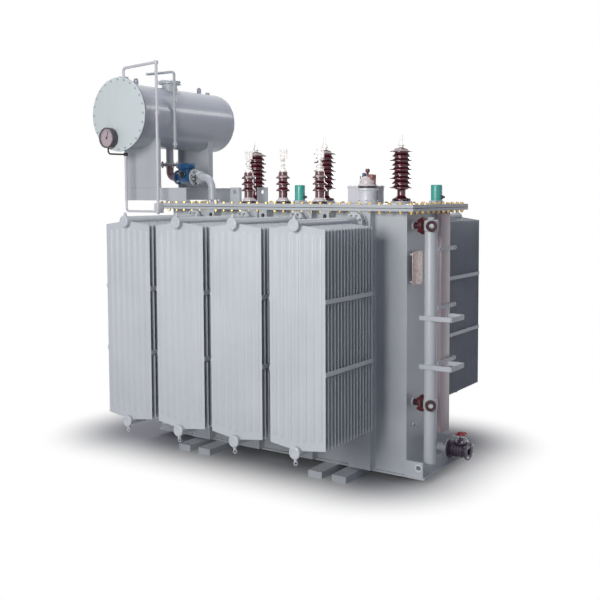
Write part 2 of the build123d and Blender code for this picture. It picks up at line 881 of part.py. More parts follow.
hv_neck_top = hv_porcelain_height + hv_neck_height
with BuildPart() as hv_terminal:
    turned([
        (0, hv_porcelain_height),
        (hv_neck_diameter / 2, hv_porcelain_height),
        (hv_neck_diameter / 2, hv_neck_top),
        (hv_cap_diameter / 2, hv_neck_top),
        (hv_cap_diameter / 2, hv_neck_top + hv_cap_height),
        (hv_stud_diameter / 2, hv_cone_top),
        (hv_stud_diameter / 2, hv_tip_height),
        (0, hv_tip_height),
    ])

with BuildPart() as hv_terminals:
    with Locations(*hv_places):
        add(hv_terminal.part)
save(hv_terminals, "hv_terminals")

# Low-voltage bushings: shorter porcelain, a stem and a flat terminal paddle
lv_y = lv_inset - wall_face
lv_spots = [(lv_x + k * lv_pitch, lv_y, cover_top) for k in (-1, 0, 1)]
lv_sheds = [(lv_shed_diameter / 2, lv_first_shed + k * lv_shed_pitch) for k in range(lv_shed_count)]
with BuildPart() as lv_porcelain:
    lv_core = lv_core_diameter / 2
    lv_profile = shed_profile(
        (lv_foot_diameter / 2, lv_flange_thickness, lv_foot_height),
        (lv_core, lv_foot_height + lv_foot_diameter / 2 - lv_core, lv_stem_rise),
        lv_core,
        (lv_core, lv_porcelain_height - lv_shed_lip, lv_porcelain_height),
        lv_sheds,
        lv_shed_lip,
        lv_shed_fall,
    )
    turned(lv_profile)

with BuildPart() as lv_porcelains:
    with Locations(*lv_spots):
        add(lv_porcelain.part)
save(lv_porcelains, "lv_porcelains")

with BuildPart() as lv_clamps:
    with Locations(*lv_spots):
        Cylinder(lv_flange_diameter / 2, lv_flange_thickness, align=(Align.CENTER, Align.CENTER, Align.MIN))
        with PolarLocations((lv_foot_diameter + clamp_claw) / 2 + fit, lv_claw_count):
            Box(clamp_claw, clamp_claw, lv_claw_height, align=(Align.CENTER, Align.CENTER, Align.MIN))
save(lv_clamps, "lv_clamps")

lv_cap_top = lv_porcelain_height + lv_cap_height
with BuildPart() as lv_terminal:
    turned([
        (0, lv_porcelain_height),
        (lv_cap_diameter / 2, lv_porcelain_height),
        (lv_cap_diameter / 2, lv_cap_top),
        (lv_stem_diameter / 2, lv_cap_top),
        (lv_stem_diameter / 2, lv_stem_height),
        (0, lv_stem_height),
    ])
    with BuildSketch(front_plane(0, -lv_paddle_thickness / 2, lv_stem_height + lv_paddle_height / 2)):
        Rectangle(lv_paddle_width, lv_paddle_height)
        with GridLocations(lv_paddle_width / 2, lv_paddle_height / 2, 2, 2):
            Circle(lv_paddle_hole_diameter / 2, mode=Mode.SUBTRACT)
    extrude(amount=lv_paddle_thickness)

with BuildPart() as lv_terminals:
    with Locations(*lv_spots):
        add(lv_terminal.part)
save(lv_terminals, "lv_terminals")

# Tap changer: low box, a round turret before it, and the drive head on the turret
turret_x = tap_x + tap_turret_offset
turret_y = tap_y - tap_turret_lead
with BuildPart() as tap_changer_base:
    plate(level_plane(tap_x, tap_y, cover_top), tap_box_length, tap_box_width, tap_box_height)
    disc(level_plane(turret_x, turret_y, cover_top), tap_turret_diameter, tap_turret_height)
    disc(level_plane(turret_x, turret_y, cover_top), tap_flange_diameter, tap_flange_height)
save(tap_changer_base, "tap_changer_base")

with BuildPart() as tap_head:
    turned([
        (0, 0),
        (tap_head_diameter / 2, 0),
        (tap_head_diameter / 2, tap_head_foot),
        (tap_head_waist / 2, tap_head_foot),
        (tap_head_waist / 2, tap_head_shoulder),
        (tap_cap_diameter / 2, tap_head_height),
        (tap_knob_diameter / 2, tap_head_height),
        (tap_knob_diameter / 2, tap_knob_height),
        (0, tap_knob_height),
    ])

with BuildPart() as tap_changer_drive:
    with Locations((turret_x, turret_y, cover_top + tap_turret_height)):
        add(tap_head.part)
save(tap_changer_drive, "tap_changer_drive")

# Relief caps: a flanged foot and a round cap
cap_large_y = wall_face - cap_large_side_inset
with BuildPart() as relief_caps:
    for x, y, diameter in (
        (cap_small_x, cap_small_inset - wall_face, cap_small_diameter),
        (end_face - cap_large_inset, cap_large_y, cap_large_diameter),
    ):
        disc(level_plane(x, y, cover_top), cap_flange_diameter, cap_flange_height)
        disc(level_plane(x, y, cover_top), diameter, cap_height)
save(relief_caps, "relief_caps")

# Upright lifting plates on the cover
with BuildPart() as cover_lifting_plates:
    for x in (outlet_x + eye_offset, outlet_x + eye_offset + eye_spacing):
        with BuildSketch(front_plane(x, -eye_y - eye_thickness / 2, cover_top + eye_height / 2)):
            Rectangle(eye_width, eye_height)
            with Locations((0, eye_height / 2 - eye_hole_drop)):
                Circle(eye_hole_diameter / 2, mode=Mode.SUBTRACT)
        extrude(amount=eye_thickness)
save(cover_lifting_plates, "cover_lifting_plates")

# Box lugs welded under the rim: a drilled front plate between two gussets
lug_front = wall_face + side_lug_depth
with BuildPart() as box_lug:
    lug_plane = level_plane(0, -(wall_face + side_lug_depth / 2), rim_base)
    plate(lug_plane, side_lug_width, side_lug_depth, -side_lug_height)
    inner_depth = side_lug_depth - side_lug_thickness
    inner_plane = level_plane(0, -(wall_face + inner_depth / 2), rim_base)
    plate(inner_plane, side_lug_width - 2 * side_lug_thickness, inner_depth, -side_lug_height, Mode.SUBTRACT)
    with BuildSketch(front_plane(0, lug_front, rim_base - side_lug_height / 2)):
        Circle(side_lug_hole_diameter / 2)
    extrude(amount=-side_lug_thickness, mode=Mode.SUBTRACT)

# Each side has a lug in every gap between its columns, and the rear side is the front one turned round
side_lug_places = [x + share * bank_pitch for x, share in zip(bank_places, side_lug_shares)]
with BuildPart() as front_lugs:
    with Locations(*[(x, 0, 0) for x in side_lug_places]):
        add(box_lug.part)

with BuildPart() as tank_lifting_lugs:
    with Locations(*[Location((0, 0, 0), (0, 0, turn)) for turn in (0, half_turn)]):
        add(front_lugs.part)
save(tank_lifting_lugs, "tank_lifting_lugs")

# Jacking lugs on the base plate's four corners
jack_y = base_width / 2 - jack_inset
with BuildPart() as jacking_lugs:
    for side in (-1, 1):
        for end in (-1, 1):
            jack_x = end * (end_face + jack_length / 2)
            jack_face = front_plane(jack_x, -side * jack_y - jack_thickness / 2, tank_floor + jack_height / 2)
            with BuildSketch(jack_face):
                Rectangle(jack_length, jack_height)
                with Locations((end * jack_hole_offset, jack_hole_rise - jack_height / 2)):
                    Circle(jack_hole_diameter / 2, mode=Mode.SUBTRACT)
            extrude(amount=jack_thickness)
save(jacking_lugs, "jacking_lugs")

# Oil filter pipe: a tall round pipe in two lengths, from its foot to the lower valve and on to the upper
filter_x = end_face + filter_gap
filter_y = filter_inset - wall_face
filter_radius = filter_diameter / 2
upper_valve, lower_valve = [wall_level(share) for share in filter_valve_shares]
half_barrel = filter_barrel_height / 2
with BuildPart() as oil_filter_pipe:
    filter_bottom = tank_floor + filter_foot_rise
    lower_length = lower_valve - half_barrel - filter_bottom
    disc(level_plane(filter_x, filter_y, filter_bottom), filter_diameter, lower_length)
    upper_length = upper_valve - lower_valve - filter_barrel_height
    disc(level_plane(filter_x, filter_y, lower_valve + half_barrel), filter_diameter, upper_length)
save(oil_filter_pipe, "oil_filter_pipe")

# Filter valves: a foot on the end wall, a neck through a flange pair, and a barrel in line with the pipe
barrel_edge = half_barrel - (filter_barrel_diameter - filter_diameter) / 2
with BuildPart() as filter_barrel:
    turned([
        (0, -half_barrel),
        (filter_barrel_land, -half_barrel),
        (filter_barrel_diameter / 2, -barrel_edge),
        (filter_barrel_diameter / 2, barrel_edge),
        (filter_barrel_land, half_barrel),
        (0, half_barrel),
    ])

with BuildPart() as filter_valves:
    for valve_z in (upper_valve, lower_valve):
        disc(end_plane(end_face, filter_y, valve_z), filter_foot_diameter, filter_foot_thickness)
        disc(end_plane(end_face, filter_y, valve_z), filter_neck_diameter, filter_gap)
        flange_face = end_plane(end_face + filter_flange_gap, filter_y, valve_z)
        disc(flange_face, filter_flange_diameter, filter_flange_thickness)
        with Locations((filter_x, filter_y, valve_z)):
            add(filter_barrel.part)
    disc(level_plane(filter_x, filter_y, upper_valve), filter_cap_diameter, half_barrel + filter_cap_height)
save(filter_valves, "filter_valves")

# Flat-bar brackets: front arm on the pipe, outer bar, and a short return arm
with BuildPart() as filter_brackets:
    arm_face = filter_y - filter_radius - fit
    bracket_back = end_face + bracket_gap
    bracket_reach = end_face + bracket_overhang
    for bracket_share in bracket_shares:
        with BuildSketch(level_plane(0, 0, wall_level(bracket_share) - bracket_bar / 2)):
            with BuildLine():
                Polyline(
                    (bracket_back, arm_face),
                    (bracket_reach - bracket_thickness, arm_face),
                    (bracket_reach - bracket_thickness, arm_face - bracket_thickness + bracket_span),
                    (bracket_reach - bracket_return, arm_face - bracket_thickness + bracket_span),
                    (bracket_reach - bracket_return, arm_face + bracket_span),
                    (bracket_reach, arm_face + bracket_span),
                    (bracket_reach, arm_face - bracket_thickness),
                    (bracket_back, arm_face - bracket_thickness),
                    close=True,
                )
            make_face()
        extrude(amount=bracket_bar)
save(filter_brackets, "filter_brackets")

# Nameplate holder: a bare plate on four posts
plate_y = plate_inset - wall_face
with BuildPart() as nameplate_holder:
    plate_middle = wall_level(plate_share)
    plate_face = end_plane(end_face + plate_standoff, plate_y, plate_middle)
    plate(plate_face, plate_width, plate_height, plate_thickness)
    with BuildSketch(end_plane(end_face, plate_y, plate_middle)):
        with GridLocations(plate_width - 2 * plate_post, plate_height - 2 * plate_post, 2, 2):
            Circle(plate_post / 2)
    extrude(amount=plate_standoff)
save(nameplate_holder, "nameplate_holder")

# Cable duct on the end wall, folded from sheet, and the flat straps that hold it
duct_y = wall_face - duct_inset
duct_bottom = tank_floor + duct_foot_rise
duct_length = rim_base - duct_top_drop - duct_bottom
with BuildPart() as cable_duct:
    with BuildSketch(level_plane(end_face, duct_y, duct_bottom)):
        with Locations((duct_depth / 2, 0)):
            Rectangle(duct_depth, duct_width)
        with Locations(((duct_depth - duct_wall) / 2, 0)):
            Rectangle(duct_depth - duct_wall, duct_width - 2 * duct_wall, mode=Mode.SUBTRACT)
    extrude(amount=duct_length)
    for strap_share in strap_shares:
        strap_plane = end_plane(end_face + duct_depth, duct_y, wall_level(strap_share))
        plate(strap_plane, strap_length, strap_height, strap_thickness)
save(cable_duct, "cable_duct")

# Drain valve: pipe stub, round body with waists at its flanges, bonnet and a drilled outlet flange
drain_y = wall_face - drain_inset
drain_z = tank_floor + drain_rise
drain_body_face = end_face + drain_pipe_length
drain_end = drain_body_face + drain_body_length
bonnet_x = drain_body_face + drain_bonnet_offset
with BuildPart() as drain_valve:
    disc(end_plane(end_face, drain_y, drain_z), drain_pipe_diameter, drain_pipe_length)
    flange_plane = end_plane(drain_body_face - drain_flange_thickness, drain_y, drain_z)
    disc(flange_plane, drain_flange_diameter, 2 * drain_flange_thickness)
    disc(end_plane(drain_body_face, drain_y, drain_z), drain_waist_diameter, drain_body_length)
    barrel_plane = end_plane(drain_body_face + drain_waist_length, drain_y, drain_z)
    disc(barrel_plane, drain_body_diameter, drain_body_length - 2 * drain_waist_length)
    with BuildSketch(end_plane(drain_end, drain_y, drain_z)):
        Circle(drain_flange_diameter / 2)
        with PolarLocations(drain_bolt_circle / 2, drain_bolt_count, start_angle=drain_bolt_turn):
            Circle(drain_bolt_diameter / 2, mode=Mode.SUBTRACT)
    extrude(amount=drain_flange_thickness)
    disc(level_plane(bonnet_x, drain_y, drain_z), drain_bonnet_diameter, drain_bonnet_height)
    disc(level_plane(bonnet_x, drain_y, drain_z), drain_stem_diameter, drain_wheel_height)
save(drain_valve, "drain_valve")

# Handwheel on the drain valve's stem
with BuildPart() as drain_handwheel:
    with BuildSketch(level_plane(bonnet_x, drain_y, drain_z + drain_wheel_height)):
        Circle(drain_wheel_diameter / 2)
        Circle(drain_wheel_diameter / 2 - drain_wheel_rim, mode=Mode.SUBTRACT)
        Rectangle(drain_wheel_diameter - drain_wheel_rim, drain_wheel_rim)
        Rectangle(drain_wheel_rim, drain_wheel_diameter - drain_wheel_rim)
        Circle(drain_wheel_hub / 2)
    extrude(amount=drain_wheel_rim)
save(drain_handwheel, "drain_handwheel")
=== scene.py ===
"""Looks of an oil-filled power transformer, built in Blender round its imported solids.

Lengths are metres. X runs along the tank, the low-voltage side faces -Y, and Z rises from the floor.
"""

import logging
from dataclasses import dataclass
from enum import Enum
from functools import cached_property
from typing import Any, Iterable, Sequence

import bmesh
import bpy
import numpy as np
from mathutils import Matrix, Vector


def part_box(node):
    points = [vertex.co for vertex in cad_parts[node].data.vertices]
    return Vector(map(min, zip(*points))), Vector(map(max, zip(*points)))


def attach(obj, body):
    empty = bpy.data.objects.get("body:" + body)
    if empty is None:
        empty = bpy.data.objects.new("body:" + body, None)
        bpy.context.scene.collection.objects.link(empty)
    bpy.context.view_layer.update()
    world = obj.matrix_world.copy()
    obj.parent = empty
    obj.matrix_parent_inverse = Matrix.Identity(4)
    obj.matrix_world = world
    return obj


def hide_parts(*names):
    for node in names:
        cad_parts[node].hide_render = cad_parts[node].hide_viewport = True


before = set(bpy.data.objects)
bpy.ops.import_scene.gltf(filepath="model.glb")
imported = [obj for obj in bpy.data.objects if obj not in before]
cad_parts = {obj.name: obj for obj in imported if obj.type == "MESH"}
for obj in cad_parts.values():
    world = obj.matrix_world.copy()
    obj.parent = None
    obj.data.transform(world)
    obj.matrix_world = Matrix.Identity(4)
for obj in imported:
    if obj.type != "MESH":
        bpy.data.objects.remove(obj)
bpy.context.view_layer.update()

MERGE_DISTANCE = 1e-6
SMOOTH_ANGLE = np.radians(32.0)
FULL_TURN = 2.0 * np.pi
BANKS = range(1, 5)
POLE_SHARE = 0.3
RIGHT, BACK, UP = np.eye(3)
LEFT, FORWARD, DOWN = -RIGHT, -BACK, -UP
ORIGIN = np.zeros(3)
SKEW = np.array((0.48, 0.6, 0.64))

Array = np.ndarray
Vector3 = Sequence[float]
Pair = tuple[float, float]
Size = tuple[float, float, float]
Profile = Sequence[Pair]
Colour = tuple[float, float, float, float]
log = logging.getLogger("transformer")


class Side(Enum):
    """The tank's two long sides, with the turn about Z from the front one."""

    FRONT = 0.0
    REAR = np.pi

    @property
    def word(self) -> str:
        """The side's name as nodes and pieces have it."""
        return self.name.lower()


class Slot(Enum):
    """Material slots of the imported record."""

    GREY = "grey_paint"
    GLAZE = "brown_glaze"
    TERMINAL = "terminal_metal"
    CLAMP = "clamp_dark"
    RELAY = "relay_blue"
    MAROON = "valve_maroon"
    GREEN = "relief_green"
    DRAIN = "drain_grey"
    RED = "wheel_red"
    GAUGE = "gauge_case"
    TAP = "tap_brown"


def linear(red: int, green: int, blue: int) -> Colour:
    """Turn a screen colour in 0 to 255 into Blender's linear colour, by the sRGB curve.

    Args:
        red: Red level.
        green: Green level.
        blue: Blue level.

    Returns:
        The linear colour with full alpha.
    """
    level = np.array([red, green, blue]) / 255.0
    value = np.where(level <= 0.04045, level / 12.92, ((level + 0.055) / 1.055) ** 2.4)
    return (*map(float, value), 1.0)


WHITE = linear(255, 255, 255)


# Shader graphs


class Signal:
    """One output socket of a shader tree; arithmetic on it adds Math nodes."""

    def __init__(self, graph: "Graph", socket: bpy.types.NodeSocket) -> None:
        """Wrap a socket of the given graph."""
        self.graph = graph
        self.socket = socket

    def _math(self, operation: str, first: Any, second: Any) -> "Signal":
        """Add one Math node for an operator."""
        return self.graph.add("ShaderNodeMath", {"operation": operation}, {0: first, 1: second})

    def __add__(self, other: Any) -> "Signal":
        """Sum with a number or a signal."""
        return self._math("ADD", self, other)

    __radd__ = __add__

    def __sub__(self, other: Any) -> "Signal":
        """Difference with a number or a signal."""
        return self._math("SUBTRACT", self, other)

    def __rsub__(self, other: Any) -> "Signal":
        """A number less this signal."""
        return self._math("SUBTRACT", other, self)

    def __mul__(self, other: Any) -> "Signal":
        """Product with a number or a signal."""
        return self._math("MULTIPLY", self, other)

    __rmul__ = __mul__

    def __or__(self, other: Any) -> "Signal":
        """The larger of this signal and a number or a signal."""
        return self._math("MAXIMUM", self, other)

    __ror__ = __or__


@dataclass(frozen=True)
class Pattern:
    """Fractal noise on a piece's own coordinates, and the range of it that becomes 0 to 1, if any."""

    scale: float
    detail: float
    reach: Pair | None = None
    stretch: Size = (1.0, 1.0, 1.0)


@dataclass(frozen=True)
class Relief:
    """How far a height signal bends the normal."""

    depth: float
    strength: float


class Graph:
    """The node tree of a material or a world, filled through one method."""

    def __init__(self, owner: bpy.types.Material | bpy.types.World) -> None:
        """Empty the owner's node tree.

        Args:
            owner: What the tree belongs to.
        """
        owner.use_nodes = True
        self.owner = owner
        self.tree = owner.node_tree
        self.tree.nodes.clear()

    @cached_property
    def place(self) -> Signal:
        """The piece's own coordinates."""
        return self.add("ShaderNodeTexCoord", output="Object")

    def add(
        self,
        kind: str,
        settings: dict[str, Any] | None = None,
        sockets: dict[int | str, Any] | None = None,
        output: int | str = 0,
    ) -> Signal:
        """Add any node.

        Args:
            kind: Blender's type name of the node.
            settings: Properties, set first.
            sockets: Values or signals of the inputs, by name or number.
            output: The output to hand on.

        Returns:
            The chosen output.
        """
        node = self.tree.nodes.new(kind)
        for key, value in (settings or {}).items():
            setattr(node, key, value)
        for key, value in (sockets or {}).items():
            if isinstance(value, Signal):
                self.tree.links.new(value.socket, node.inputs[key])
            else:
                node.inputs[key].default_value = value
        return Signal(self, node.outputs[output])

    def noise(self, pattern: Pattern) -> Signal:
        """Draw a pattern.

        Args:
            pattern: Its scale, octaves, range and stretch.

        Returns:
            The noise, about 0 to 1.
        """
        place = self.add("ShaderNodeMapping", None, {"Vector": self.place, "Scale": pattern.stretch})
        sockets = {"Vector": place, "Scale": pattern.scale, "Detail": pattern.detail}
        drawn = self.add("ShaderNodeTexNoise", None, sockets)
        return drawn if pattern.reach is None else self.clear(drawn, pattern.reach)

    def clear(self, value: Signal, reach: Pair) -> Signal:
        """Stretch a range of a signal to 0 to 1, with smooth ends."""
        sockets = {"Value": value, "From Min": reach[0], "From Max": reach[1]}
        return self.add("ShaderNodeMapRange", {"interpolation_type": "SMOOTHSTEP"}, sockets)

    def blend(self, factor: Any, first: Any, second: Any) -> Signal:
        """Mix two colours by a factor."""
        return self.add("ShaderNodeMix", {"data_type": "RGBA"}, {0: factor, 6: first, 7: second}, 2)

    def bump(self, height: Signal, relief: Relief, below: Signal | None = None) -> Signal:
        """Bend a normal, which may be bent already, by a height signal."""
        sockets = {"Height": height, "Distance": relief.depth, "Strength": relief.strength}
        return self.add("ShaderNodeBump", None, sockets if below is None else sockets | {"Normal": below})

    def seen(self) -> Signal:
        """Find the rays that show the surround: from the camera, off gloss or through glass.

        Returns:
            One for such rays and zero for the rest.
        """
        names = ("Is Camera Ray", "Is Glossy Ray", "Is Transmission Ray")
        camera, gloss, glass = (self.add("ShaderNodeLightPath", output=name) for name in names)
        return camera | gloss | glass

    def paint(self, sockets: dict[int | str, Any]) -> bpy.types.Material:
        """Close the tree with a Principled shader of these inputs and hand on the material."""
        return self.close(self.add("ShaderNodeBsdfPrincipled", None, sockets))

    def close(self, shader: Signal) -> bpy.types.Material | bpy.types.World:
        """Send a shader to the output.

        Args:
            shader: The last shader.

        Returns:
            The material or the world.
        """
        kind = "World" if isinstance(self.owner, bpy.types.World) else "Material"
        out = self.tree.nodes.new(f"ShaderNodeOutput{kind}")
        self.tree.links.new(shader.socket, out.inputs["Surface"])
        return self.owner


# Finishes


@dataclass(frozen=True)
class Finish:
    """A finish with a name of its own and the record's slot, where it stands for one."""

    name: str
    slot: Slot | None
    colour: Colour
    shade: Colour

    def graph(self) -> Graph:
        """An empty node material of the finish's name."""
        return Graph(bpy.data.materials.new(self.name))

    def material(self) -> bpy.types.Material:
        """Build the node material."""
        raise NotImplementedError


@dataclass(frozen=True)
class Enamel(Finish):
    """Sprayed paint: cloudy tone, faint runs down the plates, settled dust and orange peel."""

    roughness: float = 0.38
    dust: float = 0.25
    peel: float = 0.12
    coat: float = 0.15
    coat_roughness: float = 0.22
    dust_colour: Colour = linear(176, 172, 164)
    clouds: Pattern = Pattern(1.7, 4.0, (0.35, 0.7))
    runs: Pattern = Pattern(6.0, 5.0, (0.5, 0.8), (1.0, 1.0, 0.08))
    grain: Pattern = Pattern(55.0, 4.0)
    skin: Pattern = Pattern(420.0, 1.0)
    sheet: Pattern = Pattern(3.5, 1.0)
    level_range: Pair = (0.55, 0.98)
    dust_range: Pair = (0.25, 0.75)
    cloud_share: float = 0.45
    run_share: float = 0.3
    grain_share: float = 0.12
    uneven: float = 0.08
    dust_roughness: float = 0.2
    peel_depth: float = 0.0006
    sheet_relief: Relief = Relief(0.004, 0.06)

    def material(self) -> bpy.types.Material:
        """Build the paint's node material.

        Returns:
            The material.
        """
        graph = self.graph()
        clouds, runs, grain = graph.noise(self.clouds), graph.noise(self.runs), graph.noise(self.grain)
        normal = graph.add("ShaderNodeNewGeometry", output="Normal")
        upward = graph.add("ShaderNodeSeparateXYZ", None, {0: normal}, "Z")
        settled = graph.clear(upward, self.level_range) * graph.clear(grain, self.dust_range)
        worn = clouds * self.cloud_share + runs * self.run_share + grain * self.grain_share
        paint = graph.blend(worn, self.colour, self.shade)
        rough = clouds * self.uneven + grain * self.uneven + settled * self.dust_roughness
        peel = graph.bump(graph.noise(self.skin), Relief(self.peel_depth, self.peel))
        return graph.paint({
            "Base Color": graph.blend(settled * self.dust, paint, self.dust_colour),
            "Roughness": rough + (self.roughness - self.uneven),
            "Metallic": 0.0,
            "Coat Weight": self.coat,
            "Coat Roughness": self.coat_roughness,
            "Normal": graph.bump(graph.noise(self.sheet), self.sheet_relief, peel),
        })


@dataclass(frozen=True)
class Glaze(Finish):
    """Fired porcelain glaze, thinner and redder in patches, with a wet coat."""

    roughness: float = 0.14
    coat: float = 0.8
    coat_roughness: float = 0.05
    pools: Pattern = Pattern(22.0, 3.0, (0.38, 0.7))
    specks: Pattern = Pattern(480.0, 2.0, (0.62, 0.75))
    ripple: Pattern = Pattern(60.0, 2.0)
    speck_share: float = 0.35
    pool_roughness: float = 0.08
    ripple_relief: Relief = Relief(0.0012, 0.1)

    def material(self) -> bpy.types.Material:
        """Build the glaze's node material.

        Returns:
            The material.
        """
        graph = self.graph()
        pools, specks = graph.noise(self.pools), graph.noise(self.specks)
        tint = graph.blend(pools, self.colour, self.shade)
        return graph.paint({
            "Base Color": graph.blend(specks * self.speck_share, tint, self.colour),
            "Roughness": pools * self.pool_roughness + self.roughness,
            "Coat Weight": self.coat,
            "Coat Roughness": self.coat_roughness,
            "Normal": graph.bump(graph.noise(self.ripple), self.ripple_relief),
        })


@dataclass(frozen=True)
class BareMetal(Finish):
    """Plated or turned metal with fine scratches and uneven plating."""

    roughness: float = 0.3
    stains: Pattern = Pattern(35.0, 4.0, (0.4, 0.72))
    scratches: Pattern = Pattern(700.0, 2.0, None, (1.0, 1.0, 0.1))
    stain_roughness: float = 0.16
    scratch_roughness: float = 0.12
    scratch_relief: Relief = Relief(0.0003, 0.12)

    def material(self) -> bpy.types.Material:
        """Build the metal's node material.

        Returns:
            The material.
        """
        graph = self.graph()
        stain, scratch = graph.noise(self.stains), graph.noise(self.scratches)
        rough = stain * self.stain_roughness + scratch * self.scratch_roughness
        return graph.paint({
            "Base Color": graph.blend(stain, self.colour, self.shade),
            "Metallic": 1.0,
            "Roughness": rough + (self.roughness - self.scratch_roughness / 2.0),
            "Normal": graph.bump(scratch, self.scratch_relief),
        })


@dataclass(frozen=True)
class Casting(Finish):
    """Painted or raw sand casting with a pitted skin."""

    roughness: float = 0.5
    pits: float = 0.35
    coat: float = 0.1
    rub_colour: Colour = linear(150, 148, 146)
    clouds: Pattern = Pattern(14.0, 4.0, (0.35, 0.7))
    sand: Pattern = Pattern(260.0, 3.0)
    rubs: Pattern = Pattern(40.0, 5.0, (0.6, 0.78))
    cloud_share: float = 0.6
    sand_share: float = 0.2
    rub_share: float = 0.18
    sand_roughness: float = 0.18
    pit_depth: float = 0.0012

    def material(self) -> bpy.types.Material:
        """Build the casting's node material.

        Returns:
            The material.
        """
        graph = self.graph()
        clouds, sand, rubbed = graph.noise(self.clouds), graph.noise(self.sand), graph.noise(self.rubs)
        worn = clouds * self.cloud_share + sand * self.sand_share
        paint = graph.blend(worn, self.colour, self.shade)
        return graph.paint({
            "Base Color": graph.blend(rubbed * self.rub_share, paint, self.rub_colour),
            "Roughness": sand * self.sand_roughness + (self.roughness - self.sand_roughness / 2.0),
            "Coat Weight": self.coat,
            "Normal": graph.bump(sand, Relief(self.pit_depth, self.pits)),
        })


GREY = Enamel("grey_enamel", Slot.GREY, linear(204, 208, 210), linear(187, 192, 195))
# The drum's grey, darker than the tank's grey as painted shade on the shell and end; its glossy coat is real.
SHADED_DRUM_GREY = Enamel(
    "shaded_drum_enamel", Slot.GREY, linear(188, 192, 200), linear(174, 179, 188),
    roughness=0.34, dust=0.15, peel=0.04, coat=0.36, coat_roughness=0.14,
)
# The drum cover's grey, lighter than the drum's grey as painted light on the lit cover.
LIT_GREY = Enamel(
    "lit_grey_enamel", Slot.GREY, linear(232, 241, 238), linear(222, 231, 229),
    roughness=0.36, dust=0.1, peel=0.08, coat=0.2,
)
DUCT = Enamel(
    "duct_enamel", Slot.GREY, linear(198, 182, 186), linear(182, 158, 163),
    roughness=0.34, dust=0.2, coat=0.3,
)
PALE = Enamel(
    "pale_enamel", Slot.GREY, linear(226, 226, 228), linear(208, 208, 212),
    roughness=0.36, dust=0.2, coat=0.2,
)
CREAM = Enamel(
    "cream_enamel", Slot.TAP, linear(234, 224, 224), linear(216, 198, 198),
    roughness=0.36, dust=0.2, coat=0.2,
)
# Pinkish-brown elbow paint, made lighter still as a painted sheen.
ELBOW_WITH_SHEEN = Enamel(
    "elbow_enamel_with_sheen", Slot.MAROON, linear(172, 138, 146), linear(128, 90, 102),
    roughness=0.3, dust=0.2, coat=0.3,
)
# Pale teal cap paint, made lighter still as a painted broad highlight.
GREEN = Enamel(
    "green_enamel", Slot.GREEN, linear(72, 184, 168), linear(46, 154, 142),
    roughness=0.3, dust=0.1, peel=0.1, coat=0.35,
)
RED = Enamel(
    "red_enamel", Slot.RED, linear(186, 20, 42), linear(150, 12, 30),
    roughness=0.34, dust=0.1, peel=0.15, coat=0.3,
)
DIAL = Enamel(
    "dial_enamel", None, linear(204, 186, 190), linear(190, 170, 176),
    roughness=0.3, dust=0.0, peel=0.02, coat=0.5,
)
INK = Enamel(
    "dial_ink", None, linear(40, 38, 40), linear(28, 27, 30),
    roughness=0.4, dust=0.0, peel=0.02, coat=0.0,
)
PORCELAIN = Glaze("maroon_glaze", Slot.GLAZE, linear(82, 14, 32), linear(106, 24, 44))
WINDOW = Glaze("window_glass", None, linear(24, 30, 36), linear(48, 60, 66))
TINNED = BareMetal("tinned_metal", Slot.TERMINAL, linear(240, 238, 236), linear(210, 206, 204), 0.5)
ZINC = BareMetal("yellow_zinc", None, linear(214, 184, 118), linear(150, 128, 96), 0.36)
STEEL = BareMetal("plated_steel", None, linear(186, 188, 190), linear(130, 130, 132), 0.34)
PLATE = BareMetal("bare_plate", Slot.GREY, linear(190, 178, 176), linear(168, 154, 154), 0.5)
CLAMP = Casting("clamp_casting", Slot.CLAMP, linear(62, 60, 64), linear(38, 37, 41))
BLUE = Casting("blue_casting", Slot.RELAY, linear(30, 92, 140), linear(18, 62, 104), 0.42, 0.2)
MAROON = Casting("maroon_paint", Slot.MAROON, linear(104, 24, 34), linear(72, 16, 26), 0.36, 0.15)
BONNET = Casting("bonnet_paint", Slot.MAROON, linear(70, 30, 40), linear(46, 20, 28), 0.34, 0.15)
IRON = Casting("dark_iron", Slot.DRAIN, linear(92, 80, 97), linear(60, 51, 64), 0.46, 0.4)
CASE = Casting("gauge_casting", Slot.GAUGE, linear(84, 80, 84), linear(58, 55, 60), 0.42, 0.15)
TAP = Casting("tap_casting", Slot.TAP, linear(156, 96, 88), linear(118, 60, 56), 0.4, 0.2)
RUBBER = Casting("gasket_rubber", None, linear(52, 50, 50), linear(34, 33, 34), 0.7, 0.2)


# Surfaces


@dataclass
class Surface:
    """Points and polygons of a mesh: corners lists each polygon's points, sizes how many each has."""

    points: Array
    corners: Array
    sizes: Array

    @staticmethod
    def join(parts: Iterable["Surface"]) -> "Surface":
        """Put surfaces into one, each one's point numbers moved past the ones before.

        Args:
            parts: The surfaces.

        Returns:
            The joined surface.
        """
        parts = list(parts)
        shifts = np.cumsum([0] + [len(part.points) for part in parts[:-1]])
        return Surface(
            np.concatenate([part.points for part in parts]),
            np.concatenate([part.corners + shift for part, shift in zip(parts, shifts)]),
            np.concatenate([part.sizes for part in parts]),
        )

    def copies(self, frames: Array) -> "Surface":
        """Repeat the surface: every point, with a fourth 1, times every frame's matrix.

        Args:
            frames: One 4 by 4 matrix for each copy.

        Returns:
            All copies as one surface.
        """
        padded = np.hstack([self.points, np.ones((len(self.points), 1))])
        points = np.einsum("kij,nj->kni", frames, padded)[..., :3]
        shifts = np.arange(len(frames))[:, None] * len(self.points)
        corners = (self.corners[None] + shifts).ravel()
        return Surface(points.reshape(-1, 3), corners, np.tile(self.sizes, len(frames)))

    def at(self, origins: Any, axis: Vector3, across: Vector3 | None = None) -> "Surface":
        """Copies with own Z along an axis, one at each origin."""
        return self.copies(aim(origins, axis, across))


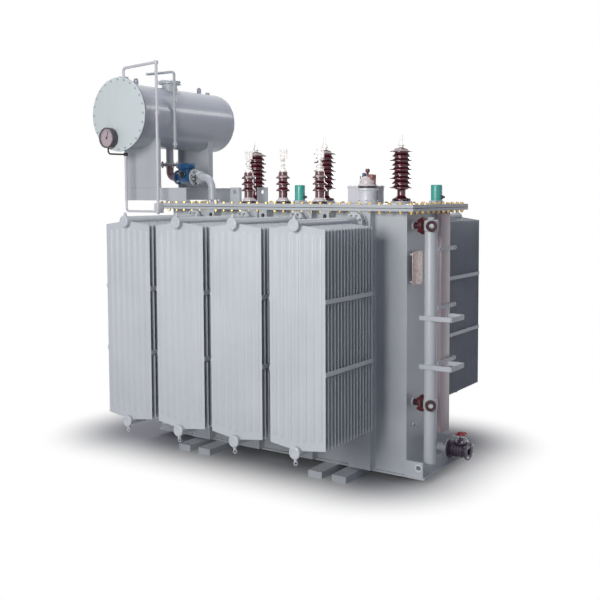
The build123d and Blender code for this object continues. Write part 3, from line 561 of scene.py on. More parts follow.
def grid(points: Array) -> Surface:
    """Quads over rows of points, from each point to the next in both directions, rows closed.

    Args:
        points: Rows by columns by 3.

    Returns:
        The surface.
    """
    number = np.arange(points.shape[0] * points.shape[1]).reshape(points.shape[:2])
    number = np.hstack([number, number[:, :1]])
    corners = [number[:-1, :-1], number[:-1, 1:], number[1:, 1:], number[1:, :-1]]
    quads = np.stack(corners, axis=-1).reshape(-1, 4)
    return Surface(points.reshape(-1, 3), quads.ravel(), np.full(len(quads), 4))


def lofted(rings: Array, ends: bool = True) -> Surface:
    """Skin over rings of points.

    Args:
        rings: Rings by points by 3.
        ends: Whether the first and last ring get a flat polygon.

    Returns:
        The surface.
    """
    body = grid(rings)
    if not ends:
        return body
    rows, columns = rings.shape[:2]
    first = np.arange(columns)[::-1]
    last = (rows - 1) * columns + np.arange(columns)
    corners = np.concatenate([body.corners, first, last])
    return Surface(body.points, corners, np.concatenate([body.sizes, [columns, columns]]))


def even(count: int, start: float = 0.0) -> Array:
    """Equal angles round a circle, the first at a share of the step."""
    return (np.arange(count) + start) * FULL_TURN / count


def eased(share: Array) -> Array:
    """Smooth step: the share held between 0 and 1, squared, times three less twice itself."""
    share = np.clip(share, 0.0, 1.0)
    return share * share * (3.0 - 2.0 * share)


def revolved(profile: Profile | Array, steps: int) -> Surface:
    """Turn a profile about Z: each radius and height becomes a ring (r cos a, r sin a, h).

    Args:
        profile: Radius and height pairs, rising along the outside.
        steps: Points in a ring.

    Returns:
        The surface, with flat ends.
    """
    profile = np.asarray(profile, float)
    angle, radius = even(steps), profile[:, :1]
    height = np.broadcast_to(profile[:, 1:], (len(profile), steps))
    return lofted(np.stack([radius * np.cos(angle), radius * np.sin(angle), height], axis=-1))


def rounded(points: Sequence[Vector3], radius: float, steps: int = 4) -> Array:
    """A path with arcs in place of its inner corners.

    Each arc is the rational curve from one tangent point to the other, with the corner weighted
    by the sine of half its angle, which is a true circle. An arc takes half a leg at most.

    Args:
        points: Corners, in two or three dimensions.
        radius: Radius of the arcs.
        steps: Pieces in an arc.

    Returns:
        The path's points.
    """
    points = np.asarray(points, float)
    corner = points[1:-1]
    back, ahead = points[:-2] - corner, points[2:] - corner
    leg_back = np.linalg.norm(back, axis=1, keepdims=True)
    leg_ahead = np.linalg.norm(ahead, axis=1, keepdims=True)
    back, ahead = back / leg_back, ahead / leg_ahead
    half = np.arccos(np.clip((back * ahead).sum(1, keepdims=True), -1.0, 1.0)) / 2.0
    reach = np.minimum(radius / np.tan(half), 0.49 * np.minimum(leg_back, leg_ahead))
    weight = np.sin(half)[:, None]
    share = np.linspace(0.0, 1.0, steps + 1)[None, :, None]
    first, last = (corner + back * reach)[:, None], (corner + ahead * reach)[:, None]
    middle = 2.0 * share * (1.0 - share) * weight
    top = (1.0 - share) ** 2 * first + middle * corner[:, None] + share ** 2 * last
    arcs = top / ((1.0 - share) ** 2 + middle + share ** 2)
    return np.vstack([points[:1], arcs.reshape(-1, points.shape[1]), points[-1:]])


def turned(profile: Profile, steps: int = 48, ease: float = 0.002, poles: bool = True) -> Surface:
    """Turn a profile of corners about Z, with every inner corner eased by a small arc.

    Args:
        profile: Radius and height pairs.
        steps: Points in a ring.
        ease: Radius of the arcs.
        poles: Whether a point nearer the axis is added at both ends, so that these corners are eased too.

    Returns:
        The surface.
    """
    if poles:
        (first, low), (last, high) = profile[0], profile[-1]
        profile = [(first * POLE_SHARE, low), *profile, (last * POLE_SHARE, high)]
    return revolved(rounded(profile, ease, steps=3), steps)


def sleeve(radius: float, low: float, high: float, steps: int = 48, ease: float = 0.002) -> Surface:
    """A plain round bar between two levels, with eased edges."""
    return turned([(radius, low), (radius, high)], steps, ease)


def circle(radius: float, steps: int = 16) -> Array:
    """A round section, as points (r cos a, r sin a)."""
    return radius * np.stack([np.cos(even(steps)), np.sin(even(steps))], axis=-1)


def bar(width: float, height: float, cut: float) -> Array:
    """A rectangular section with its corners cut off.

    Args:
        width: Length across.
        height: Length up.
        cut: Length of a cut along each side.

    Returns:
        Its eight points.
    """
    x, y = width / 2.0, height / 2.0
    return np.array([
        (x, cut - y), (x, y - cut), (x - cut, y), (cut - x, y),
        (-x, y - cut), (-x, cut - y), (cut - x, -y), (x - cut, -y),
    ])


def swept(path: Array, section: Array, upright: Vector3 = SKEW, ends: bool = True) -> Surface:
    """Carry a section along a path.

    The tangent is the difference of neighbouring points. The section's own x axis is the cross
    product of a fixed upright and the tangent, and its y axis is square to both.

    Args:
        path: Points of the path.
        section: Points of the section, anticlockwise.
        upright: A direction that the path never takes.
        ends: Whether the ends are closed.

    Returns:
        The surface.
    """
    step = np.gradient(path, axis=0)
    tangent = step / np.linalg.norm(step, axis=1, keepdims=True)
    across = np.cross(upright, tangent)
    across = across / np.linalg.norm(across, axis=1, keepdims=True)
    rise = np.cross(tangent, across)
    rings = path[:, None] + section[None, :, :1] * across[:, None] + section[None, :, 1:] * rise[:, None]
    return lofted(rings, ends)


def straight(first: Vector3, last: Vector3, section: Array, upright: Vector3 = SKEW) -> Surface:
    """A section carried from one point to another."""
    return swept(np.linspace(first, last, 3), section, upright)


def hoop(radius: float, section: Array, steps: int) -> Surface:
    """A section carried once round Z, the circle's first point met again at the end.

    Args:
        radius: Radius of the circle.
        section: Points of the section.
        steps: Pieces in the circle.

    Returns:
        The closed ring.
    """
    angle = np.linspace(0.0, FULL_TURN, steps + 1)
    path = radius * np.stack([np.cos(angle), np.sin(angle), 0.0 * angle], axis=-1)
    return swept(path, section, UP, False)


def pipe(points: Sequence[Vector3], diameter: float, bend: float, steps: int = 16) -> Surface:
    """A round pipe along corners with bends of one radius.

    Args:
        points: Corners of its middle line.
        diameter: Outer diameter.
        bend: Radius of the bends.
        steps: Points round the pipe.

    Returns:
        The pipe with closed ends.
    """
    path = rounded(points, bend, steps=8)
    keep = np.append(True, np.linalg.norm(np.diff(path, axis=0), axis=1) > MERGE_DISTANCE)
    return swept(path[keep], circle(diameter / 2.0, steps))


def block(centre: Vector3, size: Vector3, ease: float, steps: int = 3) -> Surface:
    """A box with rounded edges.

    A point is the centre, plus the sphere's direction times the ease, plus the signs of its
    octant times what is left of the half size.

    Args:
        centre: Middle of the box.
        size: Full lengths.
        ease: Radius of the edges.
        steps: Points in a quarter turn.

    Returns:
        The closed surface.
    """
    quarter = np.linspace(0.0, np.pi / 2.0, steps)
    angle = (quarter[None] + even(4)[:, None]).ravel()
    corner = np.repeat(even(4, 0.5), steps)
    rise = np.concatenate([quarter - np.pi / 2.0, quarter])[:, None]
    level = np.repeat([-1.0, 1.0], steps)[:, None]
    ball = (np.cos(rise) * np.cos(angle), np.cos(rise) * np.sin(angle), np.sin(rise) + 0.0 * angle)
    signs = np.broadcast_arrays(np.sign(np.cos(corner)), np.sign(np.sin(corner)), level)
    rest = np.stack(signs, axis=-1) * (np.asarray(size, float) / 2.0 - ease)
    return lofted(np.asarray(centre, float) + np.stack(ball, axis=-1) * ease + rest)


def holed_plate(
    width: float, low: float, high: float, hole: float, depth: float, domed: bool = False,
) -> Surface:
    """An upright plate with a round hole, in X and Z, centred on Y.

    The outer edge lies where a ray from the hole's middle meets the rectangle: the nearer of the
    distances to its upright and level sides. Four such loops, outer and inner, front and back,
    close on themselves.

    Args:
        width: Full width, with the hole in its middle.
        low: From the hole's middle down to the foot.
        high: From the hole's middle up to the top.
        hole: Radius of the hole.
        depth: Thickness.
        domed: Whether the top is a half circle instead, of half the width.

    Returns:
        The closed surface, with the hole's middle at the origin.
    """
    half, rays, least = width / 2.0, 32, 1e-9
    corners = [np.arctan2(z, x) % FULL_TURN for x in (half, -half) for z in (high, -low)]
    angle = np.unique(np.concatenate([even(rays), corners]))
    run, rise = np.cos(angle), np.sin(angle)
    level = np.where(rise > 0.0, high, low) / np.maximum(np.abs(rise), least)
    reach = np.minimum(half / np.maximum(np.abs(run), least), level)
    reach = np.where((rise > 0.0) & domed, half, reach)
    inner = np.full_like(reach, hole)
    radii = np.stack([reach, reach, inner, inner, reach])
    offset = np.array([-0.5, 0.5, 0.5, -0.5, -0.5])[:, None] * depth + 0.0 * angle
    return grid(np.stack([radii * run, offset, radii * rise], axis=-1)[:, ::-1])


def turns(angle: Array) -> Array:
    """Frames turned about Z: cosine and sine of each angle in the first two rows and columns.

    Args:
        angle: The angles.

    Returns:
        One 4 by 4 matrix for each angle.
    """
    frames = np.tile(np.eye(4), (len(angle), 1, 1))
    frames[:, 0, 0], frames[:, 0, 1] = np.cos(angle), -np.sin(angle)
    frames[:, 1, 0], frames[:, 1, 1] = np.sin(angle), np.cos(angle)
    return frames


def aim(origins: Any, axis: Vector3, across: Vector3 | None = None) -> Array:
    """Frames whose own Z points along an axis, one at each origin.

    Args:
        origins: One point or several.
        axis: Direction of own Z.
        across: Direction of own X, or None for any direction square to the axis.

    Returns:
        One 4 by 4 matrix for each origin.
    """
    rise = np.asarray(axis, float) / np.linalg.norm(axis)
    side = np.cross(np.eye(3)[np.argmin(np.abs(rise))], rise) if across is None else np.asarray(across, float)
    side = side / np.linalg.norm(side)
    origins = np.atleast_2d(np.asarray(origins, float))
    frames = np.tile(np.eye(4), (len(origins), 1, 1))
    frames[:, :3, :3] = np.stack([side, np.cross(rise, side), rise], axis=1)
    frames[:, :3, 3] = origins
    return frames


def bolt_circle(centre: Vector3, axis: Vector3, radius: float, count: int, start: float = 0.0) -> Array:
    """Frames on a circle about an axis, own Z along it: the centre plus the radius at equal angles.

    Args:
        centre: Middle of the circle.
        axis: Direction of the bolts.
        radius: Radius of the circle.
        count: Number of bolts.
        start: First angle as a share of the pitch.

    Returns:
        One frame for each bolt.
    """
    base = aim(centre, axis)[0]
    angle = even(count, start)
    ring = np.stack([np.cos(angle), np.sin(angle), 0.0 * angle], axis=-1) * radius
    frames = np.tile(base, (count, 1, 1))
    frames[:, :3, 3] = base[:3, 3] + ring @ base[:3, :3].T
    return frames


@dataclass(frozen=True)
class Fastener:
    """Hexagon bolt or nut with a washer; everything follows the thread's diameter."""

    thread: float
    flats_share: float = 1.5
    washer_share: float = 2.2
    washer_height_share: float = 0.2
    head_share: float = 0.7
    nut_share: float = 0.8
    stud_share: float = 1.25
    chamfer: Pair = (0.88, 0.82)
    tip: Pair = (0.7, 0.4)

    def _hexagon(self, height: float) -> Surface:
        """A six-sided head on its washer.

        Args:
            height: Height of the head.

        Returns:
            The head, standing on Z = 0.
        """
        corner = self.thread * self.flats_share / np.sqrt(3.0)
        washer = self.thread * self.washer_share / 2.0
        foot = self.thread * self.washer_height_share
        edge, flat = self.chamfer
        head = [(corner, foot), (corner, foot + flat * height), (corner * edge, foot + height)]
        return Surface.join([revolved([(washer, 0.0), (washer, foot)], steps=12), revolved(head, steps=6)])

    def head(self) -> Surface:
        """A bolt head, standing on Z = 0."""
        return self._hexagon(self.thread * self.head_share)

    def nut(self) -> Surface:
        """A nut with the thread's end standing out of it.

        Returns:
            The nut.
        """
        top = self.thread * (self.washer_height_share + self.stud_share)
        stud = self.thread / 2.0
        edge, run = self.tip
        end = revolved([(stud, 0.0), (stud, top - stud * run), (stud * edge, top)], steps=8)
        return Surface.join([self._hexagon(self.thread * self.nut_share), end])


@dataclass(frozen=True)
class Flange:
    """A round flange with eased edges, and a circle of nuts."""

    radius: float
    depth: float = 0.014
    thread: float = 0.014
    bolt_count: int = 8
    bolt_inset: float = 0.018
    ease: float = 0.002
    bore: float = 0.02

    def disc(self, centre: Vector3, axis: Vector3) -> Surface:
        """The disc, from its centre along the axis."""
        edge = [(self.bore, 0.0), (self.radius, 0.0), (self.radius, self.depth), (self.bore, self.depth)]
        return turned(edge, steps=40, ease=self.ease, poles=False).at(centre, axis)

    def nuts(self, centre: Vector3, axis: Vector3) -> Surface:
        """Nuts that stand round a point on a face, along the axis."""
        spots = bolt_circle(centre, axis, self.radius - self.bolt_inset, self.bolt_count, 0.5)
        return Fastener(self.thread).nut().copies(spots)

    def outer_nuts(self, centre: Vector3, axis: Vector3) -> Surface:
        """Nuts on the far face of a disc that starts at its centre."""
        return self.nuts(np.asarray(centre) + np.asarray(axis) * self.depth, axis)


# Pieces


@dataclass(frozen=True)
class NodeBox:
    """Where a CAD node stands."""

    low: Array
    high: Array

    @staticmethod
    def of(node: str) -> "NodeBox":
        """Read a node's box from the frame."""
        low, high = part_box(node)
        return NodeBox(np.array(low), np.array(high))

    @property
    def centre(self) -> Array:
        """Middle of the box."""
        return (self.low + self.high) / 2.0

    @property
    def size(self) -> Array:
        """Full lengths of the box."""
        return self.high - self.low

    @property
    def foot(self) -> Array:
        """Middle of the underside."""
        return np.array([*self.centre[:2], self.low[2]])

    @property
    def radius(self) -> float:
        """Half the length in X."""
        return float(self.size[0]) / 2.0


class Workshop:
    """Makes the objects: pieces from surfaces, and finishes on CAD nodes."""

    def __init__(self) -> None:
        """Start with no materials."""
        self.materials: dict[str, bpy.types.Material] = {}
        self.count = 0

    def coat(self, made: bpy.types.Object, finish: Finish) -> None:
        """Give an object a finish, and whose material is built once.

        Args:
            made: The object.
            finish: Its finish.
        """
        if finish.name not in self.materials:
            self.materials[finish.name] = finish.material()
        made.data.materials.clear()
        made.data.materials.append(self.materials[finish.name])

    def dress(self, finish: Finish, *nodes: str) -> None:
        """Put a finish on CAD nodes that stay in view.

        Args:
            finish: The finish.
            nodes: Names of the nodes.
        """
        for node in nodes:
            self.coat(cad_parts[node], finish)
            log.info("dressed %s with %s", node, finish.name)

    def piece(self, name: str, surfaces: Sequence[Surface], finish: Finish, *stands_for: str) -> None:
        """Make one piece that rides on the root body.

        Args:
            name: Name of the object.
            surfaces: Its parts, in the shared frame.
            finish: Its finish.
            stands_for: CAD nodes that it replaces.
        """
        mesh = self.mesh(name, Surface.join(surfaces))
        made = bpy.data.objects.new(name, mesh)
        bpy.context.scene.collection.objects.link(made)
        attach(made, "root")
        if stands_for:
            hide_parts(*stands_for)
        self.coat(made, finish)
        self.count += 1
        log.info("piece %s: %d faces", name, len(mesh.polygons))

    @staticmethod
    def mesh(name: str, surface: Surface) -> bpy.types.Mesh:
        """Make a mesh, merge the points that seams and poles share, and mark its sharp edges.

        Args:
            name: Name of the mesh.
            surface: Its points and polygons.

        Returns:
            The mesh.
        """
        mesh = bpy.data.meshes.new(name)
        mesh.vertices.add(len(surface.points))
        mesh.vertices.foreach_set("co", np.ascontiguousarray(surface.points, np.float32).ravel())
        mesh.loops.add(len(surface.corners))
        mesh.loops.foreach_set("vertex_index", surface.corners.astype(np.int32))
        mesh.polygons.add(len(surface.sizes))
        starts = np.concatenate([[0], np.cumsum(surface.sizes)[:-1]])
        mesh.polygons.foreach_set("loop_start", starts.astype(np.int32))
        mesh.update(calc_edges=True)
        mesh.validate()
        shape = bmesh.new()
        shape.from_mesh(mesh)
        bmesh.ops.remove_doubles(shape, verts=shape.verts, dist=MERGE_DISTANCE)
        shape.to_mesh(mesh)
        shape.free()
        mesh.polygons.foreach_set("use_smooth", np.ones(len(mesh.polygons), bool))
        mesh.set_sharp_from_angle(angle=SMOOTH_ANGLE)
        return mesh


@dataclass
class Assembly:
    """A sub-assembly, which makes its pieces in a workshop."""

    shop: Workshop

    def make(self, name: str, surfaces: Sequence[Surface], finish: Finish, *stands_for: str) -> None:
        """Make one piece of the sub-assembly."""
        self.shop.piece(name, surfaces, finish, *stands_for)

    def build(self) -> None:
        """Make all pieces."""
        raise NotImplementedError


HEADER_FLANGE = Flange(0.0825, 0.016, bolt_inset=0.0175)


def column_places() -> list[float]:
    """Middles of the box columns, which stand behind the radiator banks."""
    return [float(NodeBox.of(f"front_radiator_{number}").centre[0]) for number in BANKS]


@dataclass
class Tank(Assembly):
    """Tank body: plates from the CAD frame, with welds, gasket and the rim's bolts added."""

    weld: float = 0.007
    bolt_thread: float = 0.018
    bolt_pitch: float = 0.1
    bolt_inset: float = 0.042
    gasket_height: float = 0.005
    gasket_proud: float = 0.0012

    def build(self) -> None:
        """Dress the plates and add the small pieces."""
        self.shop.dress(
            GREY, "base_plate", "tank_front_wall", "tank_rear_wall", "tank_left_end", "tank_right_end",
            "tank_rim_sides", "tank_rim_ends", "cover_plate", "front_oil_columns", "rear_oil_columns",
            "skid_channels_left", "skid_channels_right", "jacking_lugs", "tank_lifting_lugs",
            "cover_lifting_plates",
        )
        self.make("tank_welds", self.welds(), GREY)
        self.make("cover_gasket", [self.gasket()], RUBBER)
        self.make("rim_bolts", self.bolts(), ZINC)

    def welds(self) -> list[Surface]:
        """Beads down the columns, round the tank's foot and under the rim.

        Returns:
            The beads.
        """
        wall, back = NodeBox.of("tank_front_wall"), NodeBox.of("tank_rear_wall").high[1]
        (left, front, foot), (right, _, top) = wall.low, wall.high
        half = column_places()[0] - NodeBox.of("front_oil_columns").low[0]
        edges = [x + side * half for x in column_places() for side in (-1.0, 1.0)]
        lines = [((x, front, foot), (x, back, foot)) for x in (left, right)]
        for node, y in (("front_oil_columns", front), ("rear_oil_columns", back)):
            low, high = NodeBox.of(node).low[2], NodeBox.of(node).high[2]
            lines += [((x, y, low), (x, y, high)) for x in edges]
            lines += [((left, y, z), (right, y, z)) for z in (foot, top)]
        return [straight(first, last, circle(self.weld, steps=8)) for first, last in lines]

    def gasket(self) -> Surface:
        """A thin sheet in the joint of rim and cover, a little proud of both.

        Returns:
            The sheet.
        """
        cover, height = NodeBox.of("cover_plate"), self.gasket_height
        wide, deep, _ = cover.size + 2.0 * self.gasket_proud
        return block(cover.foot, (wide, deep, height), height / 4.0)

    def bolts(self) -> list[Surface]:
        """Bolts at even steps along the four edges: heads on the cover, nuts under the rim.

        Returns:
            Heads and nuts in place.
        """
        cover, rim = NodeBox.of("cover_plate"), NodeBox.of("tank_rim_sides")
        low, high = cover.low + self.bolt_inset, cover.high - self.bolt_inset
        rows = []
        for a, b in ((0, 1), (1, 0)):
            steps = int(round((high[a] - low[a]) / self.bolt_pitch))
            along = np.linspace(low[a], high[a], steps + 1)[a : steps + 1 - a]
            for edge in (low[b], high[b]):
                row = np.zeros((len(along), 3))
                row[:, a], row[:, b] = along, edge
                rows.append(row)
        spots, fastener = np.vstack(rows), Fastener(self.bolt_thread)
        return [
            fastener.head().at(spots + UP * cover.high[2], UP),
            fastener.nut().at(spots + UP * rim.low[2], DOWN),
        ]


@dataclass
class RadiatorBank(Assembly):
    """One bank of pressed panels on two headers, made before the front wall and turned to its side."""

    side: Side
    number: int
    panel_count: int = 16
    panel_pitch: float = 0.0455
    panel_width: float = 0.52
    outer_inset: float = 0.05
    flute_count: int = 7
    flute_steps: Sequence[float] = (0.0, 0.19, 0.215, 0.24, 0.265, 0.29, 0.5, 0.71, 0.735, 0.76, 0.785, 0.81)
    flute_foot: float = 0.19
    flute_run: float = 0.1
    end_steps: Sequence[float] = (0.0, 0.5, 0.7, 0.8, 0.9, 1.0)
    plain_steps: Sequence[float] = (0.0, 0.03, 0.5, 0.97)
    plain_crest: Sequence[float] = (0.0, 1.0, 1.0, 1.0)
    plain_ends: Sequence[float] = (0.0, 0.7, 1.0)
    flat_share: float = 0.7
    seam: float = 0.0015
    swell: float = 0.0065
    shoulder: float = 0.029
    margin: float = 0.012
    foot_lift: float = 0.011
    foot_band: float = 0.09
    top_band: float = 0.076
    header_radius: float = 0.0445
    header_ease: float = 0.0025
    header_weld: Profile = ((0.006, 0.001), (0.0, 0.009))
    cap_radius: float = 0.049
    cap_steps: Profile = (
        (0.0445, 0.022), (0.049, 0.018), (0.049, 0.004), (0.041, 0.0), (0.026, 0.0), (0.026, 0.002),
    )
    plug_profile: Profile = ((0.016, 0.0), (0.016, 0.016), (0.011, 0.018), (0.011, 0.03), (0.004, 0.032))
    plug_inset: float = 0.024
    plug_sink: float = 0.004
    ring_radius: float = 0.016
    ring_wire: float = 0.0035
    ring_drop: float = 0.034
    tie_levels: Pair = (1.626, 1.078)
    tie_bar: Size = (0.036, 0.005, 0.0012)
    tie_overrun: float = 0.004

    @cached_property
    def node(self) -> str:
        """Name of the CAD node that this bank stands for."""
        return f"{self.side.word}_radiator_{self.number}"

    @cached_property
    def box(self) -> NodeBox:
        """Where the bank stands."""
        return NodeBox.of(self.node)

    @cached_property
    def span(self) -> Pair:
        """Distance of the flanges and of the caps from the tank's middle plane."""
        return tuple(np.sort(np.abs([self.box.low[1], self.box.high[1]])))

    @cached_property
    def levels(self) -> Pair:
        """Levels of the lower and the upper header."""
        return self.box.low[2] + HEADER_FLANGE.radius, self.box.high[2] - HEADER_FLANGE.radius

    @property
    def outer_panel(self) -> float:
        """Y of the outermost panel."""
        return self.outer_inset - self.span[1]

    def build(self) -> None:
        """Make the bank and its bolts in place."""
        place = turns(np.array([self.side.value]))
        place[0, 0, 3] = self.box.centre[0]
        bank = Surface.join([*self.panels(), *self.headers(), *self.ties()])
        self.make(f"radiator_{self.side.word}_{self.number}", [bank.copies(place)], GREY, self.node)
        spots = [(0.0, -self.span[0], level) for level in self.levels]
        nuts = [HEADER_FLANGE.outer_nuts(spot, FORWARD).copies(place) for spot in spots]
        self.make(f"radiator_bolts_{self.side.word}_{self.number}", nuts, STEEL)

    def panels(self) -> list[Surface]:
        """All panels: the outer one with every flute, the others with one broad swell.

        Returns:
            The outer panel and the others.
        """
        flutes = (np.arange(self.flute_count)[:, None] + np.array(self.flute_steps)).ravel()
        crest = (0.5 - np.abs(flutes % 1.0 - 0.5) - self.flute_foot) / self.flute_run
        outer = self.panel(flutes / self.flute_count, crest, self.end_steps)
        inner = self.panel(np.array(self.plain_steps), np.array(self.plain_crest), self.plain_ends)
        along = self.outer_panel + np.arange(self.panel_count) * self.panel_pitch
        places = aim(np.outer(along, BACK), UP, RIGHT)
        return [outer.copies(places[:1]), inner.copies(places[1:])]

    def panel(self, shares: Array, crest: Array, ends: Sequence[float]) -> Surface:
        """One panel: a ring of front and back points carried up, closed at both ends.

        Half its thickness is the seam plus the swell times two smooth steps: one across each
        flute, from its foot to its crest, and one up from each plain end band.

        Args:
            shares: Places across the pressed part, as shares of its width.
            crest: Height across each flute, before it is held between 0 and 1 and smoothed.
            ends: Levels in an end band, as shares of its height.

        Returns:
            The panel about the bank's middle.
        """
        ends = np.array(ends)
        low, high = self.levels
        half, inner = self.panel_width / 2.0, self.panel_width / 2.0 - self.margin
        across = np.concatenate([[-half], inner * (2.0 * shares - 1.0), [inner, half]])
        bulge = eased(np.concatenate([[0.0], crest, [0.0, 0.0]]))
        slope = np.clip((half - np.abs(across)) / (half - self.header_radius), 0.0, 1.0)
        foot = low + self.shoulder * (1.0 - slope) + self.foot_lift * (slope < 1.0)
        length = high - self.shoulder * (1.0 - slope) - foot
        lower = ends[:, None] * self.foot_band + 0.0 * length
        level = np.concatenate([lower, length - ends[::-1, None] * self.top_band])
        band = np.concatenate([ends, ends[::-1]])[:, None]
        thick = self.seam + self.swell * bulge * eased((band - self.flat_share) / (1.0 - self.flat_share))
        front = np.stack([across + 0.0 * level, -thick, foot + level], axis=-1)
        body = grid(np.concatenate([front, (front * (1.0, -1.0, 1.0))[:, ::-1]], axis=1))
        columns = len(across)
        edge = np.arange(columns - 1)
        cap = np.stack([edge, 2 * columns - 1 - edge, 2 * columns - 2 - edge, edge + 1], axis=-1)
        top_cap = cap[:, ::-1] + (len(level) - 1) * 2 * columns
        corners = np.concatenate([body.corners, cap.ravel(), top_cap.ravel()])
        return Surface(body.points, corners, np.concatenate([body.sizes, np.full(2 * len(cap), 4)]))

    def headers(self) -> list[Surface]:
        """Header pipes with their flanges and end caps, vent and drain plugs and a hanging ring.

        Returns:
            The headers and what hangs on them.
        """
        (inner, reach), (low, high) = self.span, self.levels
        length, tube, cap = reach - inner, self.header_radius, self.cap_radius
        flange, depth = HEADER_FLANGE.radius, HEADER_FLANGE.depth
        weld = [(tube + out, depth + run) for out, run in self.header_weld]
        end = [(radius, length - drop) for radius, drop in self.cap_steps]
        header = turned([(flange, 0.0), (flange, depth), *weld, *end], steps=40, ease=self.header_ease)
        plug = turned(self.plug_profile, steps=12, poles=False)
        ring = hoop(self.ring_radius, circle(self.ring_wire, steps=8), steps=24)
        near, proud = self.plug_inset - reach, cap - self.plug_sink
        return [
            header.at([(0.0, -inner, level) for level in self.levels], FORWARD),
            plug.at((0.0, near, high + proud), UP),
            plug.at((0.0, near, low - proud), DOWN),
            ring.at((0.0, near, low - cap - self.ring_drop), FORWARD, RIGHT),
        ]

    def ties(self) -> list[Surface]:
        """Flat bars welded across the panels' side edges, as sections carried along the bank.

        Returns:
            The bars.
        """
        half = (self.panel_width + self.tie_bar[1]) / 2.0
        front = self.outer_panel - self.tie_overrun
        rear = front + (self.panel_count - 1) * self.panel_pitch + 2.0 * self.tie_overrun
        section = bar(*self.tie_bar)
        return [
            straight((edge, front, level), (edge, rear, level), section, RIGHT)
            for level in self.tie_levels for edge in (-half, half)
        ]


@dataclass
class RadiatorValves(Assembly):
    """Butterfly valves between the box columns and the headers on one side."""

    side: Side
    body_radius: float = 0.064
    shoulder: float = 0.003
    stem_radius: float = 0.012
    stem_pole: float = 0.004
    boss_radius: float = 0.022
    boss_drop: tuple[float, float, float] = (0.004, 0.02, 0.022)
    stem_ease: float = 0.0015
    handle_size: Size = (0.062, 0.016, 0.012)
    handle_ease: float = 0.003

    def build(self) -> None:
        """Make the valves and their bolts in place."""
        node, word = f"{self.side.word}_radiator_valves", self.side.word
        box, bank = NodeBox.of(node), NodeBox.of(f"{word}_radiator_1")
        length, near = float(box.size[1]), np.abs([box.low[1], box.high[1]]).min()
        outward = FORWARD if self.side is Side.FRONT else BACK
        flange, depth = HEADER_FLANGE.radius, HEADER_FLANGE.depth
        levels = (bank.low[2] + flange, bank.high[2] - flange)
        spots = np.array([(x, outward[1] * near, z) for x in column_places() for z in levels])
        neck = depth + self.shoulder
        body = turned([
            (flange, 0.0), (flange, depth), (self.body_radius, neck), (self.body_radius, length - neck),
            (flange, length - depth), (flange, length),
        ], steps=40, ease=self.shoulder)
        stems = self.stem(levels[0] - box.low[2]).at(spots + outward * length / 2.0, UP, RIGHT)
        self.make(f"butterfly_valves_{word}", [body.at(spots, outward), stems], GREY, node)
        nuts = [HEADER_FLANGE.outer_nuts(spot, outward) for spot in spots]
        self.make(f"valve_bolts_{word}", nuts, STEEL)

    def stem(self, foot: float) -> Surface:
        """The stem under a valve, with its boss and a flat handle.

        Args:
            foot: From the valve's axis down to the handle's underside.

        Returns:
            The stem about the valve's middle.
        """
        top, low, slope = (-self.body_radius - drop for drop in self.boss_drop)
        profile = [
            (self.stem_pole, -foot), (self.stem_radius, -foot), (self.stem_radius, slope),
            (self.boss_radius, low), (self.boss_radius, top),
        ]
        handle = block(UP * (self.handle_size[2] / 2.0 - foot), self.handle_size, self.handle_ease)
        return Surface.join([turned(profile, steps=16, ease=self.stem_ease, poles=False), handle])


